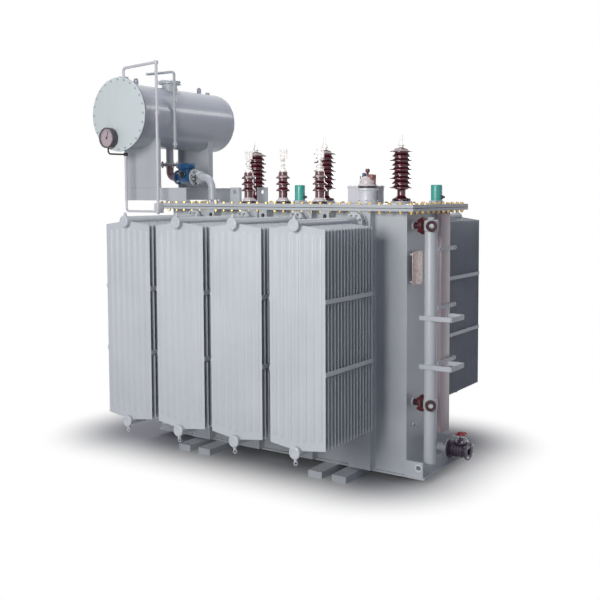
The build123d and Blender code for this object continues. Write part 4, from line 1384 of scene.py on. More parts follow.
@dataclass
class Conservator(Assembly):
    """Oil drum on its legs, with the bolted front cover and the filler neck."""

    drum_radius: float = 0.312
    drum_steps: int = 96
    drum_ease: float = 0.003
    flange_depth: float = 0.014
    flange_weld: Profile = ((0.008, 0.0005), (0.0, 0.009))
    end_weld: Profile = ((0.0, 0.012), (0.003, 0.007), (0.0, 0.0))
    cover_depth: float = 0.014
    bolt_count: int = 24
    bolt_radius: float = 0.338
    bolt_thread: float = 0.011
    gasket_inner: float = 0.3
    gasket_proud: float = 0.001
    gasket_half: float = 0.002
    knuckle: float = 0.03
    knuckle_bend: float = 0.028
    crown_shares: Pair = (0.9, 0.01)
    lug_width: float = 0.054
    lug_rise: float = 0.062
    lug_depth: float = 0.014
    lug_hole: float = 0.012
    lug_sink: float = 0.006
    lug_y: float = 0.461
    boss_radius: float = 0.025
    boss_rise: float = 0.025
    boss_weld: float = 0.006
    boss_sink: float = 0.01
    plug_y: float = 0.6
    neck_share: float = 0.68
    neck_sink: float = 0.01
    neck_steps: Profile = ((0.0, 0.03), (0.0, 0.016), (0.002, 0.0145), (0.0, 0.013), (0.0, 0.0))
    neck_slope: float = 0.034
    neck_thread: float = 0.012
    neck_inset: float = 0.018
    leg_weld: float = 0.006

    @cached_property
    def front_cover(self) -> NodeBox:
        """Where the front cover stands."""
        return NodeBox.of("conservator_front_cover")

    @cached_property
    def rear_end(self) -> NodeBox:
        """Where the dished rear end stands."""
        return NodeBox.of("conservator_rear_end")

    @property
    def front(self) -> float:
        """Y of the joint of flange and cover."""
        return float(self.front_cover.high[1])

    def axis(self, y: float) -> Array:
        """The point of the drum's axis at Y."""
        return np.array([self.front_cover.centre[0], y, self.front_cover.centre[2]])

    def build(self) -> None:
        """Make the drum and everything on it."""
        self.shop.dress(GREY, "conservator_front_leg", "conservator_rear_leg", "conservator_beams")
        joint = self.axis(self.front)
        cover = sleeve(self.front_cover.radius, 0.0, self.cover_depth, self.drum_steps, self.drum_ease)
        # The shell and end take a darker grey as painted shade, and the cover a lighter one as painted light.
        self.make("drum_shell", self.shell(), SHADED_DRUM_GREY, "conservator_shell")
        self.make("drum_cover", [cover.at(joint, FORWARD)], LIT_GREY, "conservator_front_cover")
        self.make("drum_end", [self.end()], SHADED_DRUM_GREY, "conservator_rear_end")
        self.make("drum_bolts", self.bolts(), GREY)
        outer, half = self.front_cover.radius + self.gasket_proud, self.gasket_half
        section = [(self.gasket_inner, -half), (outer, -half), (outer, half), (self.gasket_inner, half)]
        self.make("drum_gasket", [revolved(section, self.drum_steps).at(joint, BACK)], RUBBER)
        self.neck()
        self.make("leg_welds", self.leg_welds(), GREY)

    def leg_welds(self) -> list[Surface]:
        """Beads round the feet of both legs, one along each side.

        Returns:
            The beads.
        """
        beads = []
        for node in ("conservator_front_leg", "conservator_rear_leg"):
            (left, front, foot), (right, rear, _) = NodeBox.of(node).low, NodeBox.of(node).high
            lines = [((left, y, foot), (right, y, foot)) for y in (front, rear)]
            lines += [((x, front, foot), (x, rear, foot)) for x in (left, right)]
            beads += [straight(first, last, circle(self.leg_weld, steps=8)) for first, last in lines]
        return beads

    def shell(self) -> list[Surface]:
        """The rolled shell with its flange and welds, top bosses and lifting lugs.

        Returns:
            The shell, bosses and lugs in place.
        """
        radius, flange, boss = self.drum_radius, self.front_cover.radius, self.boss_radius
        length = self.rear_end.low[1] - self.front
        shell = turned([
            (flange, 0.0), (flange, self.flange_depth),
            *((radius + out, self.flange_depth + run) for out, run in self.flange_weld),
            *((radius + out, length - run) for out, run in self.end_weld),
        ], self.drum_steps, self.drum_ease)
        stud = turned([
            (boss + self.boss_weld, -self.boss_sink), (boss, self.boss_weld), (boss, self.boss_rise),
        ], steps=24)
        crown, high = UP * radius, self.lug_rise - 2.0 * self.lug_hole
        foot, top = high + self.lug_sink, 2.0 * self.lug_hole
        lug = holed_plate(self.lug_width, foot, top, self.lug_hole, self.lug_depth, domed=True)
        studs = [self.axis(y) + crown for y in (self.front + self.flange_depth + 2.0 * boss, self.plug_y)]
        lugs = [self.axis(y) + crown + UP * high for y in (-self.lug_y, self.lug_y)]
        return [shell.at(self.axis(self.front), BACK), stud.at(studs, UP), lug.at(lugs, UP, BACK)]

    def end(self) -> Surface:
        """The dished rear end: a knuckle and a shallow crown, z = depth (1 - (r / R)^2).

        Returns:
            The end in place.
        """
        radius, depth = self.drum_radius, float(self.rear_end.size[1]) - self.knuckle
        share = np.linspace(*self.crown_shares, 14)
        crown = np.stack([radius * share, self.knuckle + depth * (1.0 - share ** 2)], axis=-1)
        knuckle = rounded([(radius, 0.0), (radius, self.knuckle), crown[0]], self.knuckle_bend, steps=6)
        shape = revolved(np.vstack([knuckle, crown[1:]]), self.drum_steps)
        return shape.at(self.axis(self.rear_end.low[1]), BACK)

    def bolts(self) -> list[Surface]:
        """Bolts round the cover, with nuts behind the flange.

        Returns:
            Heads and nuts in place.
        """
        ahead, behind = self.axis(self.front_cover.low[1]), self.axis(self.front + self.flange_depth)
        fastener = Fastener(self.bolt_thread)
        return [
            fastener.head().copies(bolt_circle(ahead, FORWARD, self.bolt_radius, self.bolt_count)),
            fastener.nut().copies(bolt_circle(behind, BACK, self.bolt_radius, self.bolt_count)),
        ]

    def neck(self) -> None:
        """The filler neck with its blank flange and bolts."""
        box = NodeBox.of("filler_neck")
        tube, lift = box.radius * self.neck_share, float(box.size[2]) + self.neck_sink
        steps = [(box.radius - inset, lift - drop) for inset, drop in self.neck_steps]
        neck = turned([(tube, 0.0), (tube, lift - self.neck_slope), *steps])
        self.make("filler_neck_fine", [neck.at(box.foot - UP * self.neck_sink, UP)], GREY, "filler_neck")
        spots = bolt_circle(box.foot + UP * box.size[2], UP, box.radius - self.neck_inset, 8)
        self.make("filler_bolts", [Fastener(self.neck_thread).head().copies(spots)], STEEL)


@dataclass
class ThinPipes(Assembly):
    """Breather, gauge conduit and vent pipe at the drum's front, with their clamp."""

    pipe_radius: float = 0.014
    conduit_radius: float = 0.011
    bend: float = 0.032
    drum_radius: float = 0.312
    boss_rise: float = 0.025
    rise: float = 0.143
    turn: float = 0.178
    tip_run: float = 0.004
    clamp_size: Size = (0.06, 0.075, 0.092)
    clamp_reach: float = 0.047
    clamp_lift: float = 0.013
    clamp_ease: float = 0.004
    foot_flange: Flange = Flange(0.05, 0.016)
    foot_lift: float = 0.018
    conduit_offset: float = 0.035
    hook_drop: float = 0.385
    hook_bend: float = 0.03
    gland_rise: float = 0.02
    cable_share: float = 1.5
    vent_reach: float = 0.13
    vent_fall: float = 0.045
    collar_radius: float = 0.021
    collar_height: float = 0.034
    collar_ease: float = 0.004

    @cached_property
    def drum(self) -> Array:
        """Middle of the drum's front cover."""
        return NodeBox.of("conservator_front_cover").centre

    @property
    def crown(self) -> float:
        """Level of the drum's top."""
        return float(self.drum[2]) + self.drum_radius

    def build(self) -> None:
        """Make the three lines."""
        self.breather()
        self.gauge_line()
        self.vent()

    def collar(self, centre: Vector3, axis: Vector3) -> Surface:
        """A screwed union: a short eased sleeve round a pipe, about its middle."""
        half = self.collar_height / 2.0
        return sleeve(self.collar_radius, -half, half, steps=12, ease=self.collar_ease).at(centre, axis)

    def breather(self) -> None:
        """Up from the drum, across, and down past the cover's corner to the clamp."""
        box, half = NodeBox.of("breather_pipe"), self.pipe_radius
        width, depth, height = self.clamp_size
        length = float(box.size[2])
        start = np.array([box.low[0] + half, box.low[1] + half, self.crown + self.boss_rise])
        post = np.array([box.high[0] - width / 2.0, box.high[1] - self.clamp_reach, box.low[2]])
        bend = (*start[:2], self.crown + self.rise)
        meet = (*post[:2], self.crown + self.turn)
        upright = turned([(half, 0.0), (half, length - self.tip_run), (half / 2.0, length)], steps=16)
        clamp = (post[0], box.high[1] - depth / 2.0, box.low[2] + self.clamp_lift + height / 2.0)
        self.make("breather_line", [
            pipe([start, bend, meet], 2.0 * half, self.bend),
            upright.at(post, UP),
            self.collar(start + UP * self.collar_height / 2.0, UP),
            self.collar(meet, UP),
            self.foot_flange.disc(start + UP * self.foot_lift, UP),
            self.collar((*post[:2], self.drum[2]), UP),
            block(clamp, self.clamp_size, self.clamp_ease),
        ], PALE, "breather_pipe")

    def gauge_line(self) -> None:
        """A hook under the gauge, a long drop and a run to the clamp; the hook is a dark cable."""
        box, gauge, half = NodeBox.of("gauge_conduit"), NodeBox.of("oil_level_gauge"), self.conduit_radius
        near, far = box.low[1] + half, box.high[1] - half
        x, low, hook = self.drum[0] - self.conduit_offset, box.low[2] + half, self.drum[2] - self.hook_drop
        ahead, middle = gauge.centre[0], (x, far, hook)
        cable = [(ahead, near, box.high[2]), (ahead, near, hook), middle]
        drop = [(x, far, hook + self.gland_rise), (x, far, low), (box.high[0], far, low)]
        self.make("gauge_conduit_line", [pipe(drop, 2.0 * half, self.bend)], PALE, "gauge_conduit")
        lead = pipe(cable, self.cable_share * half, self.hook_bend)
        self.make("gauge_cable", [lead, self.collar(middle, UP)], RUBBER)

    def vent(self) -> None:
        """Up beside the drum, back over it and out along its top."""
        box, half = NodeBox.of("vent_pipe"), self.pipe_radius
        x, y, top = box.high - half
        back, foot = x - self.vent_reach, box.low[2]
        tip = (back, box.low[1], top - self.vent_fall)
        self.make("vent_line", [
            pipe([(x, y, foot), (x, y, top), (back, y, top), tip], 2.0 * half, self.bend),
            self.collar((x, y, self.crown - self.drum_radius / 2.0), UP),
            self.collar((x, y, foot + self.collar_height), UP),
            self.collar((back, (y + tip[1]) / 2.0, top - self.vent_fall / 2.0), FORWARD),
        ], GREY, "vent_pipe")


@dataclass
class Gauge(Assembly):
    """Oil level gauge: cast case, raised bezel, printed scale and a needle."""

    bezel: float = 0.012
    bezel_round: float = 0.004
    bezel_edge: float = 0.002
    back_slope: float = 0.006
    stem_radius: float = 0.06
    stem_depth: float = 0.018
    dial_gap: float = 0.001
    dial_depth: float = 0.0015
    dial_ease: float = 0.0004
    tick_count: int = 25
    tick_ease: float = 0.0003
    sweep: float = 4.2
    major_step: int = 4
    long_tick: tuple[float, Size] = (0.016, (0.0032, 0.018, 0.0012))
    short_tick: tuple[float, Size] = (0.012, (0.002, 0.01, 0.0012))
    needle_lift: float = 0.003
    needle_path: Profile = ((0.0, -0.018), (0.01, 0.02))
    needle_tip: Pair = (0.024, 0.022)
    needle_bar: Size = (0.006, 0.0016, 0.0005)
    hub_radius: float = 0.01
    hub_rise: float = 0.005
    hub_ease: float = 0.001

    def build(self) -> None:
        """Make the case, dial, scale and needle."""
        box = NodeBox.of("oil_level_gauge")
        radius, depth = box.radius, float(box.size[1])
        inner, floor, edge = radius - self.bezel, depth - self.bezel, self.bezel_edge
        place = aim((box.centre[0], box.high[1], box.centre[2]), FORWARD, RIGHT)
        case = turned([
            (self.stem_radius, 0.0), (self.stem_radius, self.stem_depth),
            (radius - self.bezel_round, self.stem_depth), (radius, self.stem_depth + self.back_slope),
            (radius, depth - self.bezel_round), (radius - self.bezel_round, depth), (inner + edge, depth),
            (inner, depth - edge), (inner, floor),
        ], steps=64)
        self.make("gauge_case", [case.copies(place)], CASE, "oil_level_gauge")
        face = floor + self.dial_depth
        dial = sleeve(inner - self.dial_gap, floor, face, steps=64, ease=self.dial_ease)
        self.make("gauge_dial", [dial.copies(place)], DIAL)
        self.make("gauge_scale", [part.copies(place) for part in self.scale(inner, face)], INK)

    def scale(self, inner: float, level: float) -> list[Surface]:
        """Ticks turned in equal steps round the dial, and the needle with its hub.

        Args:
            inner: Radius inside the bezel.
            level: Level of the dial's face.

        Returns:
            The printed parts about the dial's middle.
        """
        frames = turns(np.linspace(-self.sweep / 2.0, self.sweep / 2.0, self.tick_count))
        major = np.arange(self.tick_count) % self.major_step == 0
        long_tick, short_tick = (
            block((0.0, inner - inset, level), size, self.tick_ease, steps=2)
            for inset, size in (self.long_tick, self.short_tick)
        )
        end = (self.needle_tip[0], inner - self.needle_tip[1])
        path = np.array([(x, y, level + self.needle_lift) for x, y in (*self.needle_path, end)])
        hub = sleeve(self.hub_radius, level, level + self.hub_rise, steps=20, ease=self.hub_ease)
        needle = swept(path, bar(*self.needle_bar), UP)
        return [long_tick.copies(frames[major]), short_tick.copies(frames[~major]), needle, hub]


@dataclass
class RelayLine(Assembly):
    """Pipe from the drum through the gas relay to the cover."""

    pipe_diameter: float = 0.076
    pipe_steps: int = 32
    drop_flange: Flange = Flange(0.1)
    relay_flange: Flange = Flange(0.075, bolt_count=4)
    outlet_flange: Flange = Flange(0.085)
    weld: Flange = Flange(0.043, 0.01, ease=0.004)
    drop_bend: float = 0.01
    elbow_bend: float = 0.095
    outlet_bend: float = 0.11
    body_radius: float = 0.064
    neck_radius: float = 0.05
    neck_runs: Size = (0.004, 0.02, 0.03)
    body_ease: float = 0.004
    lid_size: Size = (0.15, 0.12, 0.06)
    lid_ease: float = 0.01
    chest_inset: Pair = (0.02, 0.002)
    chest_ease: float = 0.012
    gland_profile: Profile = ((0.016, 0.0), (0.016, 0.016), (0.011, 0.02), (0.011, 0.034))
    window_profile: Profile = ((0.04, 0.0), (0.04, 0.01), (0.034, 0.012), (0.03, 0.008))
    window_lift: float = 0.03
    valve_reach: float = 0.068
    valve_profile: Profile = (
        (0.03, -0.036), (0.056, -0.034), (0.062, -0.02), (0.062, 0.02), (0.056, 0.034), (0.03, 0.036),
    )
    valve_ease: float = 0.006
    valve_neck: Profile = ((0.03, 0.05), (0.03, 0.078), (0.022, 0.084))
    spindle_profile: Profile = ((0.002, 0.08), (0.009, 0.08), (0.009, 0.104), (0.002, 0.106))
    lever_place: Size = (0.03, -0.1, -0.03)
    lever_bar: tuple[Size, float] = ((0.016, 0.008, 0.11), 0.003)

    @cached_property
    def box(self) -> NodeBox:
        """Where the relay stands."""
        return NodeBox.of("gas_relay")

    def axis(self, x: float) -> Array:
        """The point of the relay's axis at X."""
        return np.array([x, self.box.centre[1], self.box.low[2] + self.relay_flange.radius])

    def build(self) -> None:
        """Make the drop pipe, elbow, relay and outlet."""
        self.drop()
        self.relay()
        self.outlet()

    def bent(self, points: Sequence[Vector3], bend: float) -> Surface:
        """A stretch of the line's pipe along corners."""
        return pipe(points, self.pipe_diameter, bend, self.pipe_steps)

    def drop(self) -> None:
        """The drop pipe under the drum, and the elbow that leads to the relay."""
        drop, flange = NodeBox.of("relay_drop_pipe"), self.drop_flange
        corner, end = self.axis(drop.centre[0]), self.axis(NodeBox.of("relay_elbow").high[0])
        joint, crown = (np.array([*corner[:2], level]) for level in (drop.low[2], drop.high[2]))
        upper = self.bent([joint, (joint + crown) / 2.0, crown], self.drop_bend)
        self.make("relay_drop", [upper, flange.disc(joint, UP)], GREY, "relay_drop_pipe")
        bend = self.bent([joint, corner, end], self.elbow_bend)
        discs = [flange.disc(joint, DOWN), self.relay_flange.disc(end, LEFT)]
        # The elbow's finish is lightened as a painted sheen.
        self.make("relay_bend", [bend, *discs], ELBOW_WITH_SHEEN, "relay_elbow")
        nuts = [flange.outer_nuts(joint, side) for side in (UP, DOWN)]
        self.make("relay_joint_nuts", nuts, STEEL)

    def relay(self) -> None:
        """The relay's flanged body, terminal box, window and nuts."""
        flange, depth = self.relay_flange.radius, self.relay_flange.depth
        radii = (flange, flange, self.neck_radius, self.neck_radius, self.body_radius)
        runs = (0.0, depth, *(depth + run for run in self.neck_runs))
        length = float(self.box.size[0])
        half = list(zip(radii, runs))
        other = [(radius, length - run) for radius, run in half[::-1]]
        barrel = turned(half + other, steps=40, ease=self.body_ease)
        near, far = self.axis(self.box.low[0]), self.axis(self.box.high[0])
        (middle, y, axis), top = (near + far) / 2.0, self.box.high[2]
        wide, deep, tall = self.lid_size
        shelf, lid_level = top - tall, top - tall / 2.0
        chest_size = (wide - self.chest_inset[0], deep - self.chest_inset[1], shelf - axis)
        gland = turned(self.gland_profile, steps=16).at((middle + wide / 2.0, y, lid_level), RIGHT)
        self.make("relay_housing", [
            barrel.at(near, RIGHT),
            block((middle, y, (axis + shelf) / 2.0), chest_size, self.chest_ease),
            block((middle, y, lid_level), self.lid_size, self.lid_ease),
            gland,
        ], BLUE, "gas_relay")
        ahead = (middle, y - deep / 2.0, axis + self.window_lift)
        self.make("relay_window", [turned(self.window_profile, steps=32).at(ahead, FORWARD)], WINDOW)
        nuts = [self.relay_flange.outer_nuts(near, RIGHT), self.relay_flange.outer_nuts(far, LEFT)]
        self.make("relay_bolts", nuts, STEEL)

    def outlet(self) -> None:
        """The pipe from the relay down to its foot on the cover, with a shut-off valve."""
        box, flange, weld = NodeBox.of("relay_outlet_pipe"), self.outlet_flange, self.weld
        start, corner = self.axis(box.low[0]), self.axis(box.high[0] - flange.radius)
        foot = np.array([*corner[:2], box.low[2]])
        ends = ((start, RIGHT), (foot, UP))
        self.make("relay_outlet", [
            self.bent([start, corner, foot], self.outlet_bend),
            *(flange.disc(spot, axis) for spot, axis in ends),
            *(weld.disc(spot + axis * flange.depth, axis) for spot, axis in ends),
        ], GREY, "relay_outlet_pipe")
        self.valve(start + RIGHT * self.valve_reach)
        self.make("relay_outlet_nuts", [flange.outer_nuts(spot, axis) for spot, axis in ends], STEEL)

    def valve(self, middle: Array) -> None:
        """A squat shut-off valve after the relay, with a lever on its dark spindle.

        Args:
            middle: Where it stands on the pipe.
        """
        body = turned(self.valve_profile, steps=32, ease=self.valve_ease, poles=False).at(middle, RIGHT)
        self.make("relay_valve", [body, turned(self.valve_neck, steps=24).at(middle, FORWARD)], GREY)
        spindle = turned(self.spindle_profile, steps=12, poles=False).at(middle, FORWARD)
        lever = block(middle + self.lever_place, *self.lever_bar)
        self.make("relay_valve_lever", [spindle, lever], CLAMP)


@dataclass
class Bushings(Assembly):
    """A row of three shedded porcelain bushings, by default the tall ones; levels start at the cover."""

    word: str = "hv"
    ring_finish: Finish = GREY
    foot_radius: float = 0.074
    stem_radius: float = 0.04
    stem_top: float = 0.125
    core_radius: float = 0.065
    top_radius: float = 0.026
    height: float = 0.515
    shed_radii: tuple[float, ...] = (0.11, 0.09)
    shed_count: int = 9
    shed_first: float = 0.145
    shed_pitch: float = 0.041
    shed_rise: float = 0.023
    ring_depth: float = 0.022
    nut_count: int = 6
    foot_top: float = 0.04
    foot_pole: float = 0.6
    foot_ease: float = 0.008
    top_pole: float = 0.5
    top_ease: float = 0.012
    shed_gap: float = 0.002
    shoulder_share: float = 0.35
    nut_inset: float = 0.013
    nut_thread: float = 0.01
    shed_shares: Profile = (
        (0.0, -0.35), (0.3, -0.24), (0.62, -0.22), (0.9, -0.26), (0.985, -0.16), (1.0, 0.02), (0.97, 0.17),
        (0.86, 0.28), (0.55, 0.5), (0.25, 0.74), (0.08, 0.94), (0.0, 1.08),
    )

    @cached_property
    def box(self) -> NodeBox:
        """Where the row's clamps stand."""
        return NodeBox.of(f"{self.word}_clamps")

    @property
    def ring_radius(self) -> float:
        """Radius of the flange rings."""
        return float(self.box.size[1]) / 2.0

    @cached_property
    def places(self) -> Array:
        """Frames at the feet of the three bushings."""
        along = np.linspace(self.box.low[0] + self.ring_radius, self.box.high[0] - self.ring_radius, 3)
        return aim([(x, *self.box.foot[1:]) for x in along], UP, RIGHT)

    def build(self) -> None:
        """Make the row."""
        ring = sleeve(self.ring_radius, 0.0, self.ring_depth, steps=40)
        porcelain = revolved(self.profile(), steps=56)
        spots = bolt_circle(
            UP * self.ring_depth, UP, self.ring_radius - self.nut_inset, self.nut_count, 0.5,
        )
        self.row(f"{self.word}_porcelain_fine", [porcelain], PORCELAIN, f"{self.word}_porcelains")
        self.row(f"{self.word}_rings", [ring], self.ring_finish, f"{self.word}_clamps")
        self.hold()
        self.row(f"{self.word}_clamp_nuts", [Fastener(self.nut_thread).nut().copies(spots)], STEEL)
        self.terminals()

    def row(self, name: str, parts: Sequence[Surface], finish: Finish, *stands_for: str) -> None:
        """Make one piece that repeats on every place of the row."""
        self.make(name, [part.copies(self.places) for part in parts], finish, *stands_for)

    def hold(self) -> None:
        """Make what holds the porcelain's foot."""
        raise NotImplementedError

    def terminals(self) -> None:
        """Make the terminals."""
        raise NotImplementedError

    def profile(self) -> Array:
        """Half section: foot, stem, and at each shed a drip edge, a round lip and a sloped top.

        A shed's points are shares of its overhang past the core and of its rise.

        Returns:
            Radius and height pairs.
        """
        core, shares = self.core_radius, np.array(self.shed_shares)
        order = np.arange(self.shed_count)[:, None]
        overhang = np.resize(self.shed_radii, self.shed_count)[:, None] - core
        level = self.shed_first + order * self.shed_pitch
        points = (core + overhang * shares[:, 0], level + self.shed_rise * shares[:, 1])
        body = np.stack(points, axis=-1).reshape(-1, 2)
        taper = self.foot_top + self.foot_radius - self.stem_radius
        foot = rounded([
            (self.foot_radius * self.foot_pole, self.ring_depth), (self.foot_radius, self.ring_depth),
            (self.foot_radius, self.foot_top), (self.stem_radius, taper), (self.stem_radius, self.stem_top),
            (core, body[0, 1] - self.shed_gap),
        ], self.foot_ease)
        shoulder = self.height - self.shoulder_share * (core - self.top_radius)
        top = rounded([
            (core, body[-1, 1] + self.shed_gap), (core, shoulder), (self.top_radius, self.height),
            (self.top_radius * self.top_pole, self.height),
        ], self.top_ease)
        return np.vstack([foot, body, top])


@dataclass
class HighBushings(Bushings):
    """Tall bushings with long and short sheds in turn, held by claws, with pointed studs."""

    claw_inset: float = 0.012
    claw_bite: float = 0.006
    claw_gap: float = 0.002
    claw_bend: float = 0.01
    claw_bar: Size = (0.01, 0.024, 0.002)
    stud_profile: Profile = (
        (0.006, 0.515), (0.018, 0.515), (0.018, 0.531), (0.03, 0.532), (0.03, 0.541), (0.014, 0.594),
        (0.011, 0.6), (0.011, 0.626), (0.003, 0.636),
    )

    def hold(self) -> None:
        """Clamps bent over the porcelain's foot: a flat bar along a hook, turned in equal steps."""
        outer, reach = self.ring_radius - self.claw_inset, self.foot_radius - self.claw_bite
        path = rounded([
            (outer, 0.0, self.ring_depth), (outer, 0.0, self.foot_top - self.claw_gap),
            (reach, 0.0, self.foot_top + self.claw_bite),
        ], self.claw_bend, steps=5)
        claw = swept(path, bar(*self.claw_bar), BACK)
        self.row("hv_claws", [claw.copies(turns(even(self.nut_count)))], CLAMP)

    def terminals(self) -> None:
        """A collared stud with a pointed end on each bushing."""
        self.row("hv_studs", [turned(self.stud_profile, steps=32, poles=False)], TINNED, "hv_terminals")


@dataclass
class LowBushings(Bushings):
    """Short bushings in flared collars, with flat drilled paddles."""

    word: str = "lv"
    ring_finish: Finish = CLAMP
    foot_radius: float = 0.044
    stem_radius: float = 0.042
    stem_top: float = 0.1
    core_radius: float = 0.042
    top_radius: float = 0.038
    height: float = 0.29
    shed_radii: tuple[float, ...] = (0.066,)
    shed_count: int = 3
    shed_first: float = 0.12
    shed_pitch: float = 0.058
    shed_rise: float = 0.026
    ring_depth: float = 0.02
    nut_count: int = 4
    collar_profile: Profile = ((0.058, 0.02), (0.056, 0.03), (0.05, 0.048), (0.046, 0.054))
    cap_profile: Profile = (
        (0.01, 0.29), (0.035, 0.29), (0.035, 0.31), (0.027, 0.316), (0.015, 0.32), (0.015, 0.419),
        (0.006, 0.419),
    )
    stem_nut: Profile = ((0.022, 0.0), (0.026, 0.004), (0.026, 0.016), (0.022, 0.02))
    stem_nut_levels: Size = (0.322, 0.348, 0.39)
    paddle_foot: float = 0.415
    paddle_width: float = 0.086
    paddle_rise: float = 0.084
    paddle_depth: float = 0.014
    paddle_hole: float = 0.007

    def hold(self) -> None:
        """A flared collar round each porcelain's foot."""
        self.row("lv_collars", [turned(self.collar_profile, steps=40)], CREAM)

    def terminals(self) -> None:
        """A capped stem with nuts on each bushing, and a paddle of four drilled quarters."""
        wide, tall = self.paddle_width / 4.0, self.paddle_rise / 4.0
        tile = holed_plate(2.0 * wide, tall, tall, self.paddle_hole, self.paddle_depth)
        quarters = [(x * wide, 0.0, self.paddle_foot + z * tall) for x in (-1.0, 1.0) for z in (1.0, 3.0)]
        nuts = revolved(self.stem_nut, steps=6).at(np.outer(self.stem_nut_levels, UP), UP, RIGHT)
        cap = turned(self.cap_profile, steps=28, poles=False)
        paddle = [cap, nuts, tile.at(quarters, UP, RIGHT)]
        self.row("lv_paddles", paddle, TINNED, "lv_terminals")


@dataclass
class CoverFittings(Assembly):
    """Tap changer and relief caps on the cover."""

    box_length: float = 0.33
    box_width: float = 0.12
    chest_gap: float = 0.008
    chest_ease: float = 0.005
    lid_height: float = 0.018
    lid_ease: float = 0.004
    lid_screw: Fastener = Fastener(0.008)
    screw_inset: Pair = (0.02, 0.018)
    screw_shares: Sequence[float] = (-1.0, -0.35, 0.35, 1.0)
    turret_radius: float = 0.08
    turret_flange: Flange = Flange(0.102, 0.022, thread=0.01, bolt_inset=0.011)
    turret_weld: float = 0.004
    turret_lip: float = 0.012
    turret_drops: Size = (0.03, 0.026, 0.006)
    joint_inset: float = 0.004
    joint_levels: Pair = (-0.006, 0.012)
    dome_steps: Profile = ((0.0, 0.012), (0.0, 0.024), (0.014, 0.028), (0.016, 0.062), (0.034, 0.09))
    dome_top: Pair = (0.03, 0.102)
    dome_ease: float = 0.006
    gear_blocks: Sequence[tuple[Size, Size, float]] = (
        ((0.036, 0.0, 0.092), (0.07, 0.07, 0.05), 0.008), ((0.062, 0.0, 0.05), (0.036, 0.03, 0.07), 0.006),
    )
    spindle_foot: Pair = (0.011, 0.09)
    spindle_steps: Profile = ((0.011, 0.034), (0.02, 0.03), (0.02, 0.006), (0.012, 0.0))
    knob_profile: Profile = ((0.012, 0.0), (0.012, 0.02), (0.018, 0.026), (0.018, 0.05), (0.008, 0.056))
    knob_place: Size = (-0.036, 0.0, 0.076)
    lug_place: Size = (-0.066, 0.01, 0.052)
    cap_flange: Flange = Flange(0.074, bolt_count=6, bolt_inset=0.012, thread=0.01)
    cap_radii: Pair = (0.0475, 0.052)
    cap_levels: Pair = (0.02, 0.03)
    cap_shares: Pair = (0.92, 0.96)
    cap_round: float = 0.012
    cap_ease: float = 0.006
    cap_foot_steps: Profile = ((0.008, 0.018), (0.004, 0.03))
    cap_foot_ease: float = 0.003
    plug_profile: Profile = (
        (0.003, 0.0), (0.018, 0.0), (0.018, 0.022), (0.011, 0.026), (0.011, 0.04), (0.002, 0.042),
    )
    plug_sink: float = 0.012
    plug_level: float = 0.06

    def build(self) -> None:
        """Make the fittings."""
        self.tap_changer()
        self.tap_drive()
        self.caps()

    def tap_changer(self) -> None:
        """The low box with its lid, and the round turret on a bolted foot."""
        box, drive = NodeBox.of("tap_changer_base"), NodeBox.of("tap_changer_drive")
        level, rise, gap = box.low[2], box.size[2], self.chest_gap
        long, wide = self.box_length, self.box_width
        x, y = box.low[0] + long / 2.0, box.high[1] - wide / 2.0
        chest_size = (long - gap, wide - gap, rise - gap)
        chest = block((x, y, level + (rise - gap) / 2.0), chest_size, self.chest_ease)
        lid = block((x, y, box.high[2] - self.lid_height / 2.0), (long, wide, self.lid_height), self.lid_ease)
        spot, height = np.array([*drive.centre[:2], level]), drive.low[2] - level
        radius, lip, flange = self.turret_radius, self.turret_radius + self.turret_lip, self.turret_flange
        turret = turned([
            (flange.radius, 0.0), (flange.radius, flange.depth), (radius, flange.depth + self.turret_weld),
            *((r, height - drop) for r, drop in zip((radius, lip, lip), self.turret_drops)),
        ]).at(spot, UP)
        self.make("tap_housing", [chest, lid, turret], PALE, "tap_changer_base")
        half_long, half_wide = long / 2.0 - self.screw_inset[0], wide / 2.0 - self.screw_inset[1]
        screws = [
            (x + share * half_long, y + side * half_wide, box.high[2])
            for share in self.screw_shares for side in (-1.0, 1.0)
        ]
        self.make("tap_bolts", [flange.outer_nuts(spot, UP), self.lid_screw.head().at(screws, UP)], STEEL)

    def tap_drive(self) -> None:
        """The drive on the turret: a joint ring inked dark as a painted shadow line, domed housing, gear box
        with its arm, spindle and knobs.
        """
        box = NodeBox.of("tap_changer_drive")
        radius, height = box.radius, float(box.size[2])
        ring = sleeve(radius - self.joint_inset, *self.joint_levels)
        dome_steps = [(radius - inset, level) for inset, level in self.dome_steps]
        dome = turned([*dome_steps, self.dome_top], steps=48, ease=self.dome_ease)
        gears = Surface.join(block(*part) for part in self.gear_blocks)
        tip = [(r, height - drop) for r, drop in self.spindle_steps]
        knob = turned(self.knob_profile, steps=20)
        place = aim(box.foot, UP, RIGHT)
        for name, part, finish, nodes in (
            # The inset joint ring is inked dark as the shadow line under the dome, a painted shadow.
            ("tap_joint_shadow_ring", ring, INK, ()),
            ("tap_dome", dome, CREAM, ("tap_changer_drive",)),
            ("tap_gears", gears, TAP, ()),
            ("tap_spindle", turned([self.spindle_foot, *tip], steps=24), MAROON, ()),
            ("tap_knob", knob.at(self.knob_place, UP, RIGHT), BLUE, ()),
            ("tap_lug", knob.at(self.lug_place, UP, RIGHT), STEEL, ()),
        ):
            self.make(name, [part.copies(place)], finish, *nodes)

